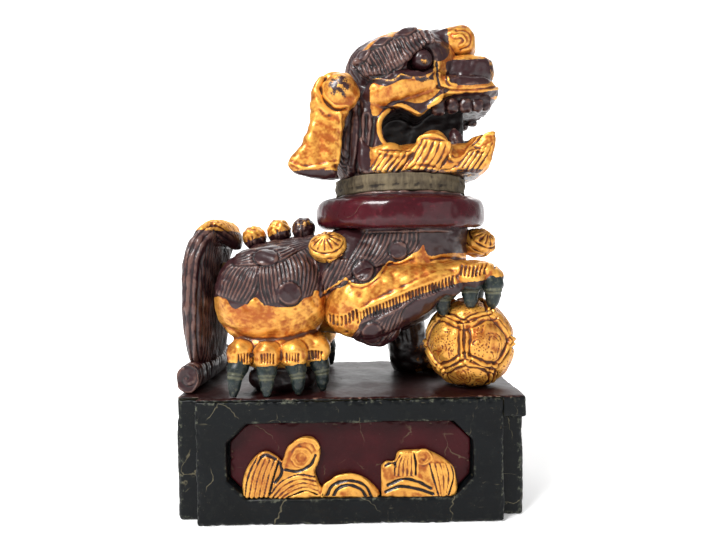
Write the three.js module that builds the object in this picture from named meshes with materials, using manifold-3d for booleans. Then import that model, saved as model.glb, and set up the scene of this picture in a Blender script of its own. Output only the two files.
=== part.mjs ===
// A carved, lacquered and gilt wooden guardian lion on a stepped plinth, with a lift-off head that
// turns on a dowel. Millimetres, +Z up, +X the way the lion faces, -Y the side with the ball.
// The origin is the middle of the plinth's underside.
import * as THREE from "three";
import { mergeVertices } from "three/addons/utils/BufferGeometryUtils.js";
import Module from "manifold-3d";

const wasm = await Module();
wasm.setup();

// ---------------------------------------------------------------- driving dimensions

const GAP = 0.3; // between pieces that rest on or in each other

const PLINTH_LENGTH = 240;
const PLINTH_DEPTH = 140;
const PLINTH_HEIGHT = 86;
const SLAB_THICKNESS = 15;
const BOARD_THICKNESS = 10; // front and back boards, which leave the corners set back
const CORNER_WIDTH = 16;
const RECESS_END_RIM = 21; // of the front board, beside the recess
const RECESS_TOP_RIM = 2;
const RECESS_FOOT_RIM = 18;
const RECESS_CHAMFER = 13;
const GROUND_THICKNESS = 3;
const RELIEF_PROUD = 5; // the reliefs stand this far off the ground panel

const FOOT_MARGIN = 22; // from the slab's edge to the middle of a foot
const TORSO_HALF_WIDTH = 46;
const TORSO_LIFT = 75; // spine line above the slab
const BALL_RADIUS = 33;
const BALL_X = 88;
const BALL_SINK = 2; // flat on the ball's underside
const CLAW_ROOT_RADIUS = 6.5;
const CLAW_TIP_RADIUS = 3;
const TAIL_INSET = 7; // from the slab's end to the middle of the scroll under the tail
const KNOB_RADIUS = 9;
const KNOB_SPACE = 1.5; // between neighbouring knobs
const BELL_RADIUS = 14;

const NECK_X = 41;
const NECK_RADIUS = 51.5;
const NECK_LENGTH = 13; // of the head's own neck, above the collar
const COLLAR_WALL = 14.5; // at the front and back
const COLLAR_SIDE_WALL = 9;
const COLLAR_HEIGHT = 24;
const COLLAR_LIFT = 117; // underside above the slab
const PAW_LIFT = 17; // middle of the lifted paw above the ball
const DOWEL_RADIUS = 9;
const DOWEL_CLEARANCE = 0.5;
const DOWEL_IN_TORSO = 50;
const DOWEL_IN_HEAD = 22;

const PEG_RADIUS = 4; // pegs that hold the tail and the ball
const PEG_LENGTH = 24;

const HEAD_HALF_WIDTH = 46;
const MOUTH_CORNER_RADIUS = 12;
const MOUTH_WEB = 7; // half thickness of the wood left between the jaws
const EYE_RADIUS = 8;
const EAR_THICKNESS = 9; // half of it

// ---------------------------------------------------------------- places worked out from them

const deck = PLINTH_HEIGHT; // the lion stands here
const boardFace = PLINTH_DEPTH / 2;
const footY = PLINTH_DEPTH / 2 - FOOT_MARGIN;
const spine = deck + TORSO_LIFT;
const tailX = TAIL_INSET - PLINTH_LENGTH / 2;
const collarBase = deck + COLLAR_LIFT;
const collarBore = NECK_RADIUS + GAP;
const collarTop = collarBase + GAP + COLLAR_HEIGHT;
const collarRadius = collarBore + COLLAR_WALL;
const collarOval = (collarBore + COLLAR_SIDE_WALL) / collarRadius;
const neckBase = collarTop + GAP; // the head's neck stands on the torso's, level with the collar
const headBase = neckBase + NECK_LENGTH - 1;
const ballCentre = [BALL_X, -(PLINTH_DEPTH / 2 - BALL_RADIUS - 2), deck + BALL_RADIUS - BALL_SINK];
const pawZ = ballCentre[2] + BALL_RADIUS + PAW_LIFT;
const hole = DOWEL_RADIUS + DOWEL_CLEARANCE;

// ---------------------------------------------------------------- solids

// A three.js geometry as a manifold-3d solid.
function solid(geometry) {
  const bare = new THREE.BufferGeometry().setAttribute("position", geometry.getAttribute("position"));
  if (geometry.index) bare.setIndex(geometry.index);
  const merged = mergeVertices(bare, 1e-4);
  const vertProperties = merged.attributes.position.array;
  return new wasm.Manifold(
    new wasm.Mesh({ numProp: 3, vertProperties, triVerts: new Uint32Array(merged.index.array) }),
  );
}

function box(low, high) {
  const size = high.map((h, i) => h - low[i]);
  const middle = high.map((h, i) => (h + low[i]) / 2);
  return solid(new THREE.BoxGeometry(...size).translate(...middle));
}

// An ellipsoid; a squareness under 1 pushes it out towards its box.
function egg(centre, radii, grow = 0, around = 16, rows = 10, squareness = 1) {
  const g = new THREE.SphereGeometry(1, around, rows);
  if (squareness < 1) {
    const p = g.getAttribute("position");
    const push = (v) => Math.sign(v) * Math.abs(v) ** squareness;
    for (let i = 0; i < p.count; i++) {
      p.setXYZ(i, push(p.getX(i)), push(p.getY(i)), push(p.getZ(i)));
    }
  }
  return solid(g.scale(...radii.map((r) => r + grow)).translate(...centre));
}

// A body of revolution about Z, from [radius, height] points that start and end on the axis.
function turned(profile, centre = [0, 0, 0], around = 32, oval = 1) {
  const points = profile.map(([r, z]) => new THREE.Vector2(r, z));
  const g = new THREE.LatheGeometry(points, around).rotateX(Math.PI / 2);
  return solid(g.scale(1, oval, 1).translate(...centre));
}

function rod(radius, from, to, around = 16) {
  const axis = new THREE.Vector3(...to).sub(new THREE.Vector3(...from));
  const g = new THREE.CylinderGeometry(radius, radius, axis.length(), around);
  g.applyQuaternion(new THREE.Quaternion().setFromUnitVectors(new THREE.Vector3(0, 1, 0), axis.clone().normalize()));
  return solid(g.translate(...from.map((v, i) => (v + to[i]) / 2)));
}

// A rounded limb along a smooth line of [x, y, z, half width across Y, half height] stations.
function limb(stations, grow = 0, around = 14, rows = 10, squareness = 1) {
  const line = new THREE.CatmullRomCurve3(stations.map(([x, y, z]) => new THREE.Vector3(x, y, z)));
  const across = new THREE.Vector3(0, 1, 0);
  const g = new THREE.SphereGeometry(1, around, rows);
  const p = g.getAttribute("position");
  for (let i = 0; i < p.count; i++) {
    const y = THREE.MathUtils.clamp(p.getY(i), -1, 1);
    const t = (1 - y) / 2;
    const place = t * (stations.length - 1);
    const k = Math.min(Math.floor(place), stations.length - 2);
    const half = [3, 4].map((j) => THREE.MathUtils.lerp(stations[k][j], stations[k + 1][j], place - k) + grow);
    const ring = Math.sqrt(Math.max(0, 1 - y * y));
    const full = Math.sqrt(Math.max(0, 1 - y ** 4)); // keeps the middle thick and rounds the ends
    const along = line.getTangent(t);
    const up = new THREE.Vector3().crossVectors(along, across).normalize();
    const flat = (v) => Math.sign(v) * Math.abs(v) ** squareness;
    const [c, s] = ring > 1e-6 ? [flat(p.getX(i) / ring), flat(p.getZ(i) / ring)] : [0, 0];
    const at = line.getPoint(t).addScaledVector(along, -y * grow);
    at.addScaledVector(across, c * half[0] * full).addScaledVector(up, s * half[1] * full);
    p.setXYZ(i, at.x, at.y, at.z);
  }
  const made = solid(g);
  return made.volume() < 0 ? solid(flipped(g)) : made;
}

function flipped(geometry) {
  const index = geometry.index.array;
  for (let i = 0; i < index.length; i += 3) [index[i], index[i + 1]] = [index[i + 1], index[i]];
  return geometry;
}

// An outline in the XZ plane, drawn through Y from front to back.
function board(shape, front, back) {
  const depth = back - front;
  const g = new THREE.ExtrudeGeometry(shape, { depth, bevelEnabled: false, curveSegments: 5 });
  return solid(g.rotateX(Math.PI / 2).translate(0, back, 0));
}

const beyondMiddle = (side) => {
  const [low, high] = side === "right" ? [-GAP / 2, 200] : [-200, GAP / 2];
  return box([-300, low, -300], [300, high, 600]);
};

const join = (first, ...more) => more.reduce((sum, s) => sum.add(s), first);
const cut = (first, ...more) => more.reduce((rest, s) => rest.subtract(s), first);
const mirrored = ([x, y, z, ...more]) => [x, -y, z, ...more];
const onSide = (side, points) => (side === "right" ? points : points.map(mirrored));

// ---------------------------------------------------------------- finishes

const finish = (color, roughness, metalness = 0) =>
  new THREE.MeshStandardMaterial({ color, roughness, metalness });
const finishes = {
  black: finish(0x14191b, 0.45),
  deck: finish(0x3a1d1b, 0.5),
  red: finish(0x4a161b, 0.4),
  maroon: finish(0x3f242b, 0.45),
  gold: finish(0xd79a2b, 0.35, 0.7),
  claw: finish(0x1d2624, 0.45),
  bare: finish(0x5d5b51, 0.75),
  dowel: finish(0xa8875a, 0.8),
};

const statue = new THREE.Group();
const head = new THREE.Group();
head.name = "head";
statue.add(head);

function place(name, shape, material, group = statue) {
  const m = shape.getMesh();
  const g = new THREE.BufferGeometry();
  g.setAttribute("position", new THREE.BufferAttribute(m.vertProperties, 3));
  g.setIndex(new THREE.BufferAttribute(m.triVerts, 1)).computeVertexNormals();
  const mesh = new THREE.Mesh(g, finishes[material]);
  mesh.name = name;
  group.add(mesh);
}

// ---------------------------------------------------------------- plinth

const recess = {
  half: PLINTH_LENGTH / 2 - CORNER_WIDTH - RECESS_END_RIM,
  low: RECESS_FOOT_RIM,
  high: deck - SLAB_THICKNESS - GAP - RECESS_TOP_RIM,
};

// The recess's outline, with its corners taken off.
function cartouche(inset) {
  const [l, c] = [recess.half - inset, RECESS_CHAMFER];
  const [low, high] = [recess.low + inset, recess.high - inset];
  const shape = new THREE.Path();
  shape.moveTo(-l + c, low).lineTo(l - c, low).lineTo(l, low + c).lineTo(l, high - c);
  shape.lineTo(l - c, high).lineTo(-l + c, high).lineTo(-l, high - c).lineTo(-l, low + c);
  shape.closePath();
  return shape;
}

function plinth() {
  const half = PLINTH_LENGTH / 2;
  const coreHalf = boardFace - BOARD_THICKNESS;
  const seam = deck - SLAB_THICKNESS;
  const boardHalf = half - CORNER_WIDTH;
  place("plinth_core", box([-half, -coreHalf, 0], [half, coreHalf, seam - GAP]), "black");

  const slab = box([-half, -boardFace, seam], [half, boardFace, deck]);
  const pinHole = rod(PEG_RADIUS + GAP, pegLine()[0], pegLine()[1]);
  const notch = box([-half - 1, -boardFace - 1, seam - 1], [-boardHalf, -coreHalf, deck + 1]);
  place("plinth_top", cut(slab, notch, pinHole), "deck");

  const outline = new THREE.Shape();
  outline.moveTo(-boardHalf, 0).lineTo(boardHalf, 0).lineTo(boardHalf, seam - GAP).lineTo(-boardHalf, seam - GAP);
  outline.closePath();
  place("back_board", board(outline, coreHalf + GAP, boardFace), "black");
  const framed = outline.clone();
  framed.holes.push(cartouche(0));
  place("front_board", board(framed, -boardFace, -coreHalf - GAP), "black");

  const ground = new THREE.Shape(cartouche(GAP).getPoints());
  const groundBack = -coreHalf - GAP;
  place("recess_ground", board(ground, groundBack - GROUND_THICKNESS, groundBack), "red");
  return groundBack - GROUND_THICKNESS - GAP;
}

// The peg under the ball, from low in the slab to inside the ball.
function pegLine() {
  const [x, y] = ballCentre;
  return [[x, y, deck - SLAB_THICKNESS + 3], [x, y, deck + PEG_LENGTH - SLAB_THICKNESS + 3]];
}

// Low reliefs that fill the recess: a crested bird, a wave and a crouching beast. Their outlines
// are shares of the recess's half length and of its height.
function reliefs(back) {
  const front = back - RELIEF_PROUD;
  const foot = recess.low + 1;
  const at = ([u, v]) => new THREE.Vector2(u * recess.half, foot + v * (recess.high - foot));
  const outline = (points) => {
    const start = at(points[0]);
    const shape = new THREE.Shape();
    shape.moveTo(start.x, start.y);
    shape.splineThru(points.slice(1).map(at));
    return shape;
  };
  const bird = [
    [-0.78, 0], [-0.86, 0.24], [-0.75, 0.55], [-0.59, 0.63], [-0.52, 0.62],
    [-0.41, 0.83], [-0.28, 0.81], [-0.24, 0.5], [-0.28, 0.16], [-0.25, 0],
  ];
  const wave = [[-0.2, 0], [-0.14, 0.14], [0, 0.27], [0.16, 0.23], [0.24, 0]];
  const beast = [
    [0.29, 0], [0.3, 0.23], [0.36, 0.5], [0.51, 0.62], [0.65, 0.62], [0.79, 0.45], [0.84, 0.2], [0.8, 0],
  ];
  place("relief_bird", board(outline(bird), front, back), "gold");
  place("relief_wave", board(outline(wave), front, back), "gold");
  place("relief_beast", board(outline(beast), front, back), "gold");
}

// ---------------------------------------------------------------- feet and claws

// One claw from its root in a toe to its tip, which rests on something.
function claw(root, tip, grow = 0) {
  const line = [root, tip.map((v, i) => (v + root[i]) / 2), tip];
  const mean = (CLAW_ROOT_RADIUS + CLAW_TIP_RADIUS) / 2;
  const radii = [CLAW_ROOT_RADIUS, mean, CLAW_TIP_RADIUS];
  const made = limb(line.map((p, i) => [...p, radii[i], radii[i]]), grow, 8, 5);
  return cut(made, box([-200, -200, deck - 40], [200, 200, deck + GAP - grow]));
}

// Toes of a foot as [x, y, z] middles on the right side, in order from the back.
const hindToes = [[-75, -footY - 9, 27], [-56, -footY - 13, 26], [-38, -footY - 9, 26], [-23, -footY + 1, 27]];
const standingToes = [[66, 10, 12], [77, 20, 12], [77, 33, 12], [67, 43, 12]];
// Toes of the lifted paw, from the ball's middle and the paw's height.
const liftedToes = [[-17, -16, -7], [-2, -19, -2], [13, -12, -1], [9, 9, -2]];

// Claw tips: a hind claw stands on the slab, a lifted one grips the ball.
const hindTips = [[-79, -footY - 18, 0], [-56, -footY - 18, 0], [-35, -footY - 13, 0], [-19, -footY - 2, 0]];
const standingTips = [[74, 4, 0], [87, 17, 0], [87, 36, 0], [75, 48, 0]];
const gripAngles = [[-0.62, -0.42], [-0.06, -0.55], [0.42, -0.42], [0.28, 0.4]];

const above = ([x, y, z]) => [x, y, z + deck];
const overBall = ([x, y, z]) => [ballCentre[0] + x, ballCentre[1] + y, pawZ + z];

function gripTip([alongX, alongY]) {
  const rise = Math.sqrt(1 - alongX ** 2 - alongY ** 2);
  return [alongX, alongY, rise].map((v, i) => ballCentre[i] + v * (BALL_RADIUS + GAP));
}

const feet = {
  right_hind: hindToes.map((toe, i) => [above(toe), above(hindTips[i])]),
  left_hind: hindToes.map((toe, i) => [above(mirrored(toe)), above(mirrored(hindTips[i]))]),
  left_fore: standingToes.map((toe, i) => [above(toe), above(standingTips[i])]),
  right_fore: liftedToes.map((toe, i) => [overBall(toe), gripTip(gripAngles[i])]),
};

const ball = (grow = 0) => egg(ballCentre, [BALL_RADIUS, BALL_RADIUS, BALL_RADIUS], grow, 20, 12);
const clawsOf = (foot, grow) => feet[foot].map(([root, tip]) => claw(root, tip, grow));
const belowDeck = box([-200, -200, deck - 90], [200, 200, deck + GAP]);

function claws() {
  for (const [foot, lines] of Object.entries(feet)) {
    lines.forEach(([root, tip], i) => {
      const made = claw(root, tip);
      place(`${foot}_claw_${i + 1}`, foot === "right_fore" ? cut(made, ball(GAP)) : made, "claw");
    });
  }
}

// ---------------------------------------------------------------- legs, tail and ball

function hindLeg(side, grow = 0) {
  const [low, high] = [deck + 31, spine + 28]; // of the haunch
  const leg = onSide(side, [
    [-56, -footY + 12, (low + high) / 2, 41, 29, (high - low) / 2],
    [-50, -footY + 3, deck + 30, 37, 22, 14],
    [-50, -footY + 7, deck + 8, 25, 16, 14],
  ]);
  const parts = leg.map(([x, y, z, ...radii]) => egg([x, y, z], radii, grow, 18, 10, 0.85));
  const toes = feet[`${side}_hind`].map(([toe]) => egg(toe, [10.5, 9, 11], grow, 10, 6));
  return cut(join(...parts, ...toes), beyondMiddle(side));
}

function leftForeleg(grow = 0) {
  const y = 24;
  const shank = limb(
    [[44, y, spine, 20, 17], [46, y, deck + 40, 19, 16], [50, y + 2, deck - 8, 20, 18]],
    grow,
  );
  const toes = feet.left_fore.map(([toe]) => egg(toe, [10, 8, 9], grow, 10, 6));
  return join(shank, egg([60, y + 2, deck + 10], [20, 20, 11], grow), ...toes);
}

// The lifted foreleg sweeps from a low elbow up to the paw above the ball.
function rightForeleg(grow = 0) {
  return limb(
    [
      [-17, 8 - TORSO_HALF_WIDTH, spine - 25, 20, 18],
      [10, -footY + 4, spine - 15, 20, 25],
      [44, -footY + 2, (spine - 15 + 2 * pawZ) / 3 - 4, 18, 20],
      [ballCentre[0] - 8, ballCentre[1] - 10, pawZ + 4, 16, 10],
    ],
    grow,
    16,
    12,
    0.8,
  );
}

function rightForePaw(grow = 0) {
  const toes = feet.right_fore.map(([toe]) => egg(toe, [10.5, 9.5, 9], grow, 10, 6));
  return join(egg([ballCentre[0] - 2, ballCentre[1] - 6, pawZ + 4], [22, 19, 7], grow), ...toes);
}

function tail(grow = 0) {
  return limb(
    [
      [tailX + 27, 0, spine + 28, 16, 9],
      [tailX + 13, 0, spine + 42, 34, 10],
      [tailX + 2, 0, spine + 23, 45, 11],
      [tailX, 0, deck + 60, 47, 11],
      [tailX, 0, deck + 24, 42, 9],
      [tailX, 0, deck + 12, 36, 8],
    ],
    grow,
    16,
    12,
    0.6,
  );
}

const tailScroll = (grow = 0) => rod(9.5 + grow, [tailX, -46 - grow, deck + 10], [tailX, 46 + grow, deck + 10]);
const tailPeg = (grow = 0) => rod(PEG_RADIUS + grow, [tailX + 12, 0, spine + 14], [tailX + 12 + PEG_LENGTH + grow, 0, spine + 14], 12);
const ballPeg = (grow = 0) => rod(PEG_RADIUS + grow, ...pegLine(), 12);

// ---------------------------------------------------------------- trim on the body

// The knobs run back from the collar along the curve of the spine.
const knobPitch = 2 * KNOB_RADIUS + KNOB_SPACE;
const knobPlaces = [2, 1, 0].map((i) => {
  const x = NECK_X - collarRadius - KNOB_RADIUS - KNOB_SPACE - i * knobPitch;
  return [x, 0, spine + 43 - 7 * ((x + 35) / 42) ** 2];
});
const knob = (at, grow = 0) => egg(at, [KNOB_RADIUS, KNOB_RADIUS, KNOB_RADIUS], grow, 12, 8);

const bellPlaces = {
  right_shoulder_bell: [-14, -TORSO_HALF_WIDTH + 1, collarBase - BELL_RADIUS - 1],
  left_shoulder_bell: [-14, TORSO_HALF_WIDTH - 1, collarBase - BELL_RADIUS - 1],
  chest_bell: [NECK_X + 62, 0, collarBase - BELL_RADIUS + 2],
};
// The bells are a little flatter than round.
const bell = (at, grow = 0) => egg(at, [BELL_RADIUS, BELL_RADIUS, BELL_RADIUS - 2], grow, 12, 8);

function collar() {
  const h = COLLAR_HEIGHT;
  const rim = [[0.9, 0], [0.96, 0.1], [1, 0.28], [1, 0.62], [0.96, 0.86], [0.9, 1]];
  const outer = rim.map(([r, z]) => [r * collarRadius, z * h]);
  const disc = turned([[0, 0], ...outer, [0, h]], [NECK_X, 0, collarBase + GAP], 40, collarOval);
  return cut(disc, turned([[0, -5], [collarBore, -5], [collarBore, h + 5], [0, h + 5]], [NECK_X, 0, collarBase], 40));
}

// ---------------------------------------------------------------- torso

function torso() {
  const half = TORSO_HALF_WIDTH;
  const trunk = limb(
    [
      [-98, 0, spine + 5, half - 14, 29],
      [-58, 0, spine + 1, half - 2, 35],
      [-8, 0, spine, half - 2, 40],
      [36, 0, spine + 2, half, 42],
      [92, 0, spine + 16, half - 8, 30],
    ],
    0,
    20,
    14,
  );
  const r = collarRadius - 13;
  const drum = turned(
    [[0, -46], [r - 17, -46], [r - 3, -30], [r, -8], [r, 0], [0, 0]],
    [NECK_X, 0, collarBase],
    28,
    collarOval,
  );
  const seat = turned(
    [[0, 0], [collarRadius + GAP, 0], [collarRadius + GAP, 60], [0, 60]],
    [NECK_X, 0, collarBase],
    40,
  );
  const stump = turned(
    [[0, -5], [NECK_RADIUS, -5], [NECK_RADIUS, collarTop - collarBase], [0, collarTop - collarBase]],
    [NECK_X, 0, collarBase],
    36,
  );
  const socket = rod(hole, [NECK_X, 0, collarTop - DOWEL_IN_TORSO - GAP], [NECK_X, 0, collarTop + 5]);
  const shoulders = [-1, 1].map((side) => egg([2, side * (half - 15), collarBase - 32], [34, 22, 31]));
  return cut(
    join(cut(join(trunk, drum, ...shoulders), seat), stump),
    socket,
    hindLeg("right", GAP),
    hindLeg("left", GAP),
    leftForeleg(GAP),
    rightForeleg(GAP),
    rightForePaw(GAP),
    ball(GAP),
    tail(GAP),
    tailPeg(GAP),
    ...knobPlaces.map((at) => knob(at, GAP)),
    ...Object.values(bellPlaces).map((at) => bell(at, GAP)),
  );
}

// ---------------------------------------------------------------- head

const JAW_DROP = 8; // the jaw hangs this far below the level that heights in the head are taken from
const z = (lift) => headBase + JAW_DROP + lift;
const w = HEAD_HALF_WIDTH;

const ear = (side, grow = 0) => {
  const flap = limb(
    onSide(side, [
      [1, 8 - w, z(72), EAR_THICKNESS, 9],
      [-7, 5 - w, z(52), EAR_THICKNESS, 17],
      [-13, 2 - w, z(30), EAR_THICKNESS, 14],
      [-19, -w, z(8), EAR_THICKNESS, 22],
      [-23, -2 - w, z(-5), EAR_THICKNESS - 2, 18],
    ]),
    grow,
  );
  return join(flap, egg(onSide(side, [[-5, -w, z(56)]])[0], [16, 11, 16], grow, 14, 8));
};

const eye = (side, grow = 0) =>
  egg(onSide(side, [[55, 8 - w, z(75)]])[0], [EYE_RADIUS, EYE_RADIUS, EYE_RADIUS], grow, 10, 8);

const cheek = (side, grow = 0) =>
  limb(
    onSide(side, [
      [12, 8 - w, z(48), 8, 12],
      [36, 4 - w, z(55), 9, 10],
      [58, 6 - w, z(60), 8, 9],
      [72, 12 - w, z(60), 7, 8],
    ]),
    grow,
    12,
    8,
  );

const fang = (side, grow = 0) =>
  limb(onSide(side, [[79, 20 - w, z(14), 5, 5.5], [79, 19 - w, z(24), 5, 5], [78, 18 - w, z(34), 3, 3]]), grow, 8, 6);

const nose = (grow = 0) => egg([91, 0, z(73.5)], [23, w - 17, 12.5], grow, 20, 10, 0.62);
const foreheadBoss = (grow = 0) => egg([83, 0, z(96.5)], [18, w - 20, 12.5], grow, 16, 10, 0.75);
const upperTeeth = (grow = 0) => egg([88, 0, z(47)], [24, w - 13, 6.5], grow, 18, 8, 0.6);

const upperLip = (grow = 0) =>
  limb([[50, 0, z(58), w - 6, 9], [86, 0, z(58), w - 6, 9], [118, 0, z(58), w - 15, 8]], grow, 18, 10, 0.65);

function lowerJaw(grow = 0) {
  const chin = limb(
    [[10, 0, z(8), w - 5, 17], [52, 0, z(7), w - 2, 16], [92, 0, z(9), w - 7, 15], [113, 0, z(18), w - 18, 13]],
    grow,
    18,
    12,
    0.7,
  );
  const curl = (side, x, lift, r) => egg(onSide(side, [[x, 8 - w, z(lift)]])[0], [r, 8, r], grow, 12, 8);
  const curls = ["right", "left"].flatMap((side) => [curl(side, 58, 15, 13), curl(side, 26, 11, 11)]);
  return join(chin, ...curls);
}

const neckHole = rod(hole, [NECK_X, 0, neckBase - 5], [NECK_X, 0, neckBase + DOWEL_IN_HEAD + GAP]);

function neck() {
  const rim = NECK_RADIUS - 4;
  const edge = NECK_LENGTH - 4;
  const profile = [[0, 0], [NECK_RADIUS, 0], [NECK_RADIUS, edge], [rim, NECK_LENGTH], [0, NECK_LENGTH]];
  return cut(turned(profile, [NECK_X, 0, neckBase], 36), neckHole);
}

// The drilled corners of the mouth, one from each side, with a web of wood left between them.
function mouthCorner(side) {
  const [from, to] = onSide(side, [[44, -MOUTH_WEB, z(29)], [44, -w - 20, z(29)]]);
  return rod(MOUTH_CORNER_RADIUS, from, to, 20);
}

function skull() {
  const crown = limb(
    [[2, 0, z(62), w - 10, 22], [22, 0, z(72), w - 1, 33], [54, 0, z(78), w - 2, 30], [88, 0, z(82), 34, 20]],
    0,
    20,
    14,
    0.9,
  );
  const jowl = egg([15, 0, z(27)], [26, w - 3, 40], 0, 18, 10, 0.7);
  const web = box([20, -MOUTH_WEB, z(10)], [94, MOUTH_WEB, z(62)]);
  return join(crown, jowl, web);
}

function headPieces() {
  const sides = ["right", "left"];
  const both = (make, grow) => sides.map((side) => make(side, grow));
  const underNeck = box([-100, -100, headBase - 60], [150, 100, headBase + GAP + 1]);
  const corners = sides.map(mouthCorner);
  const skullCutters = [
    underNeck,
    ...corners,
    ...both(ear, GAP),
    ...both(eye, GAP),
    ...both(cheek, GAP),
    nose(GAP),
    foreheadBoss(GAP),
    upperLip(GAP),
    upperTeeth(GAP),
    lowerJaw(GAP),
    neckHole,
  ];
  place("neck", neck(), "bare", head);
  place("skull", cut(skull(), ...skullCutters), "maroon", head);
  place("upper_lip", cut(upperLip(), nose(GAP), upperTeeth(GAP), ...both(cheek, GAP), ...corners), "gold", head);
  place("nose", cut(nose(), foreheadBoss(GAP), ...both(cheek, GAP)), "gold", head);
  place("forehead_boss", foreheadBoss(), "gold", head);
  place("upper_teeth", upperTeeth(), "maroon", head);
  place("lower_jaw", cut(lowerJaw(), underNeck, ...corners, ...both(fang, GAP), neckHole), "gold", head);
  for (const side of sides) {
    place(`${side}_ear`, ear(side), "gold", head);
    place(`${side}_eye`, eye(side), "maroon", head);
    place(`${side}_cheek`, cut(cheek(side), ear(side, GAP), eye(side, GAP)), "gold", head);
    place(`${side}_fang`, fang(side), "maroon", head);
  }
}

function neckDowel() {
  const from = [NECK_X, 0, collarTop - DOWEL_IN_TORSO];
  const to = [NECK_X, 0, neckBase + DOWEL_IN_HEAD];
  return rod(DOWEL_RADIUS, from, to, 20);
}

// ---------------------------------------------------------------- assembly

reliefs(plinth());
claws();
for (const side of ["right", "left"]) {
  const tailParts = [tail(GAP), tailScroll(GAP), tailPeg(GAP)];
  const trim = [...tailParts, bell(bellPlaces[`${side}_shoulder_bell`], GAP)];
  const leg = cut(hindLeg(side), belowDeck, ...trim, ...clawsOf(`${side}_hind`, GAP));
  place(`${side}_hind_leg`, leg, "gold");
}
place("left_foreleg", cut(leftForeleg(), belowDeck, ball(GAP), ...clawsOf("left_fore", GAP)), "gold");
const aroundForeleg = [
  hindLeg("right", GAP),
  rightForePaw(GAP),
  ball(GAP),
  bell(bellPlaces.right_shoulder_bell, GAP),
  ...clawsOf("right_fore", GAP),
];
place("right_foreleg", cut(rightForeleg(), ...aroundForeleg), "gold");
place("right_fore_paw", cut(rightForePaw(), ball(GAP), ...clawsOf("right_fore", GAP)), "gold");
place("ball", cut(ball(), belowDeck, ballPeg(GAP)), "gold");
place("ball_peg", ballPeg(), "dowel");
place("tail", cut(tail(), tailScroll(GAP), tailPeg(GAP), knob(knobPlaces[0], GAP)), "maroon");
place("tail_scroll", tailScroll(), "maroon");
place("tail_peg", tailPeg(), "dowel");
place("torso", torso(), "maroon");
knobPlaces.forEach((at, i) => place(`spine_knob_${i + 1}`, knob(at), "gold"));
for (const [name, at] of Object.entries(bellPlaces)) place(name, bell(at), "gold");
place("collar_ring", collar(), "red");
place("neck_dowel", neckDowel(), "dowel");
headPieces();

export default statue;
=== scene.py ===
"""A carved, lacquered and gilt wooden guardian lion on its plinth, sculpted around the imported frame."""

import math

import bpy
import numpy as np
import openvdb
from mathutils import Matrix, Vector


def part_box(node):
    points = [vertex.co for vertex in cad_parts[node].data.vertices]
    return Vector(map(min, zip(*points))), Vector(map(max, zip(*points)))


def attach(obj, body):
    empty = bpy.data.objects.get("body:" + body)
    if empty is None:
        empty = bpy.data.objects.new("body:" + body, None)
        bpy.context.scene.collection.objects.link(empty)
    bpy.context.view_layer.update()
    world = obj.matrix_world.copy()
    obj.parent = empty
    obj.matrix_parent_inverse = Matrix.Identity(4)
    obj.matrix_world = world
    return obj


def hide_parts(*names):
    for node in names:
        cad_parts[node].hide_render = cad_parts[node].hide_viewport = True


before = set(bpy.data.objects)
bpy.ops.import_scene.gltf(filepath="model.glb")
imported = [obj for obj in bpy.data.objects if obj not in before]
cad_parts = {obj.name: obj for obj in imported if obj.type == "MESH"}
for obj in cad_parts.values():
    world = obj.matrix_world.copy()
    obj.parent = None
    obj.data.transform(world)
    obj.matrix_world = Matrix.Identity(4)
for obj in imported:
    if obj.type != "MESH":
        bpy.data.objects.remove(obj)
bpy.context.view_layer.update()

bl_info = {
    "name": "Guardian Lion",
    "version": (1, 0, 0),
    "blender": (4, 5, 0),
    "location": "View3D > Sidebar > Lion",
    "description": "Carves and finishes a gilt wooden guardian lion on its plinth, with a plain studio",
    "category": "Add Mesh",
}

MM = 0.001


# ---- places taken from the frame


def box_of(node):
    """Lowest and highest corner of a CAD node, in millimetres."""
    low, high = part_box(node)
    return np.array(low) / MM, np.array(high) / MM


def middle_of(node):
    """Middle of a CAD node's box."""
    low, high = box_of(node)
    return (low + high) / 2


DECK = box_of("plinth_top")[1][2]
COLLAR_LOW, COLLAR_HIGH = box_of("collar_ring")
GAP = 0.3  # between pieces that rest on each other
COLLAR_BASE = COLLAR_LOW[2] - GAP
COLLAR_OVAL = 0.917  # its width over its length
COLLAR_TILT = 0.05  # it sits a little lower on the right side
STUMP_RADIUS = 51.5  # of the torso inside the collar
NECK_X = (COLLAR_LOW[0] + COLLAR_HIGH[0]) / 2
NECK_BASE = box_of("neck")[0][2]
NECK_TOP = box_of("neck")[1][2]
HEAD_BASE = NECK_TOP + 7  # heights in the head are above this
HEAD_HALF = 46.0
TORSO_HALF = 46.0
SPINE = DECK + 75
BALL_RADIUS = 33.0
BALL = middle_of("ball") * [1, 1, 0] + [0, 0, box_of("ball")[1][2] - BALL_RADIUS]
PAW_LIFT = 17  # middle of the lifted paw above the ball
PAW_Z = BALL[2] + BALL_RADIUS + PAW_LIFT
TAIL_X = middle_of("tail_scroll")[0]
FOOT_Y = 48.0

# Carving lines are drawn on an upright sheet at this depth, and reach the curved flank along
# straight lines from the carver's eye.
SHEET_Y = -50.0
EYE_POINT = (9.0, -442.0, 177.0)


# ---- settings


def length(name, description, size):
    """A length property given in millimetres."""
    return bpy.props.FloatProperty(name=name, description=description, default=size * MM, unit="LENGTH", precision=5)


class LionSizes(bpy.types.PropertyGroup):
    """Sizes of the carving that a user would change."""

    body_cell: length("Body grain", "Fineness of the carved body", 0.62)
    head_cell: length("Head grain", "Fineness of the carved head", 0.55)
    strand_depth: length("Strand depth", "Depth of the gouged hair", 1.5)
    lock_lift: length("Lock lift", "How far a lock of hair stands proud", 1.5)
    slit_depth: length("Fringe depth", "Depth of the cut fringes", 2.2)
    wobble: length("Hand wobble", "Unevenness left by the chisel", 0.35)


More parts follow.
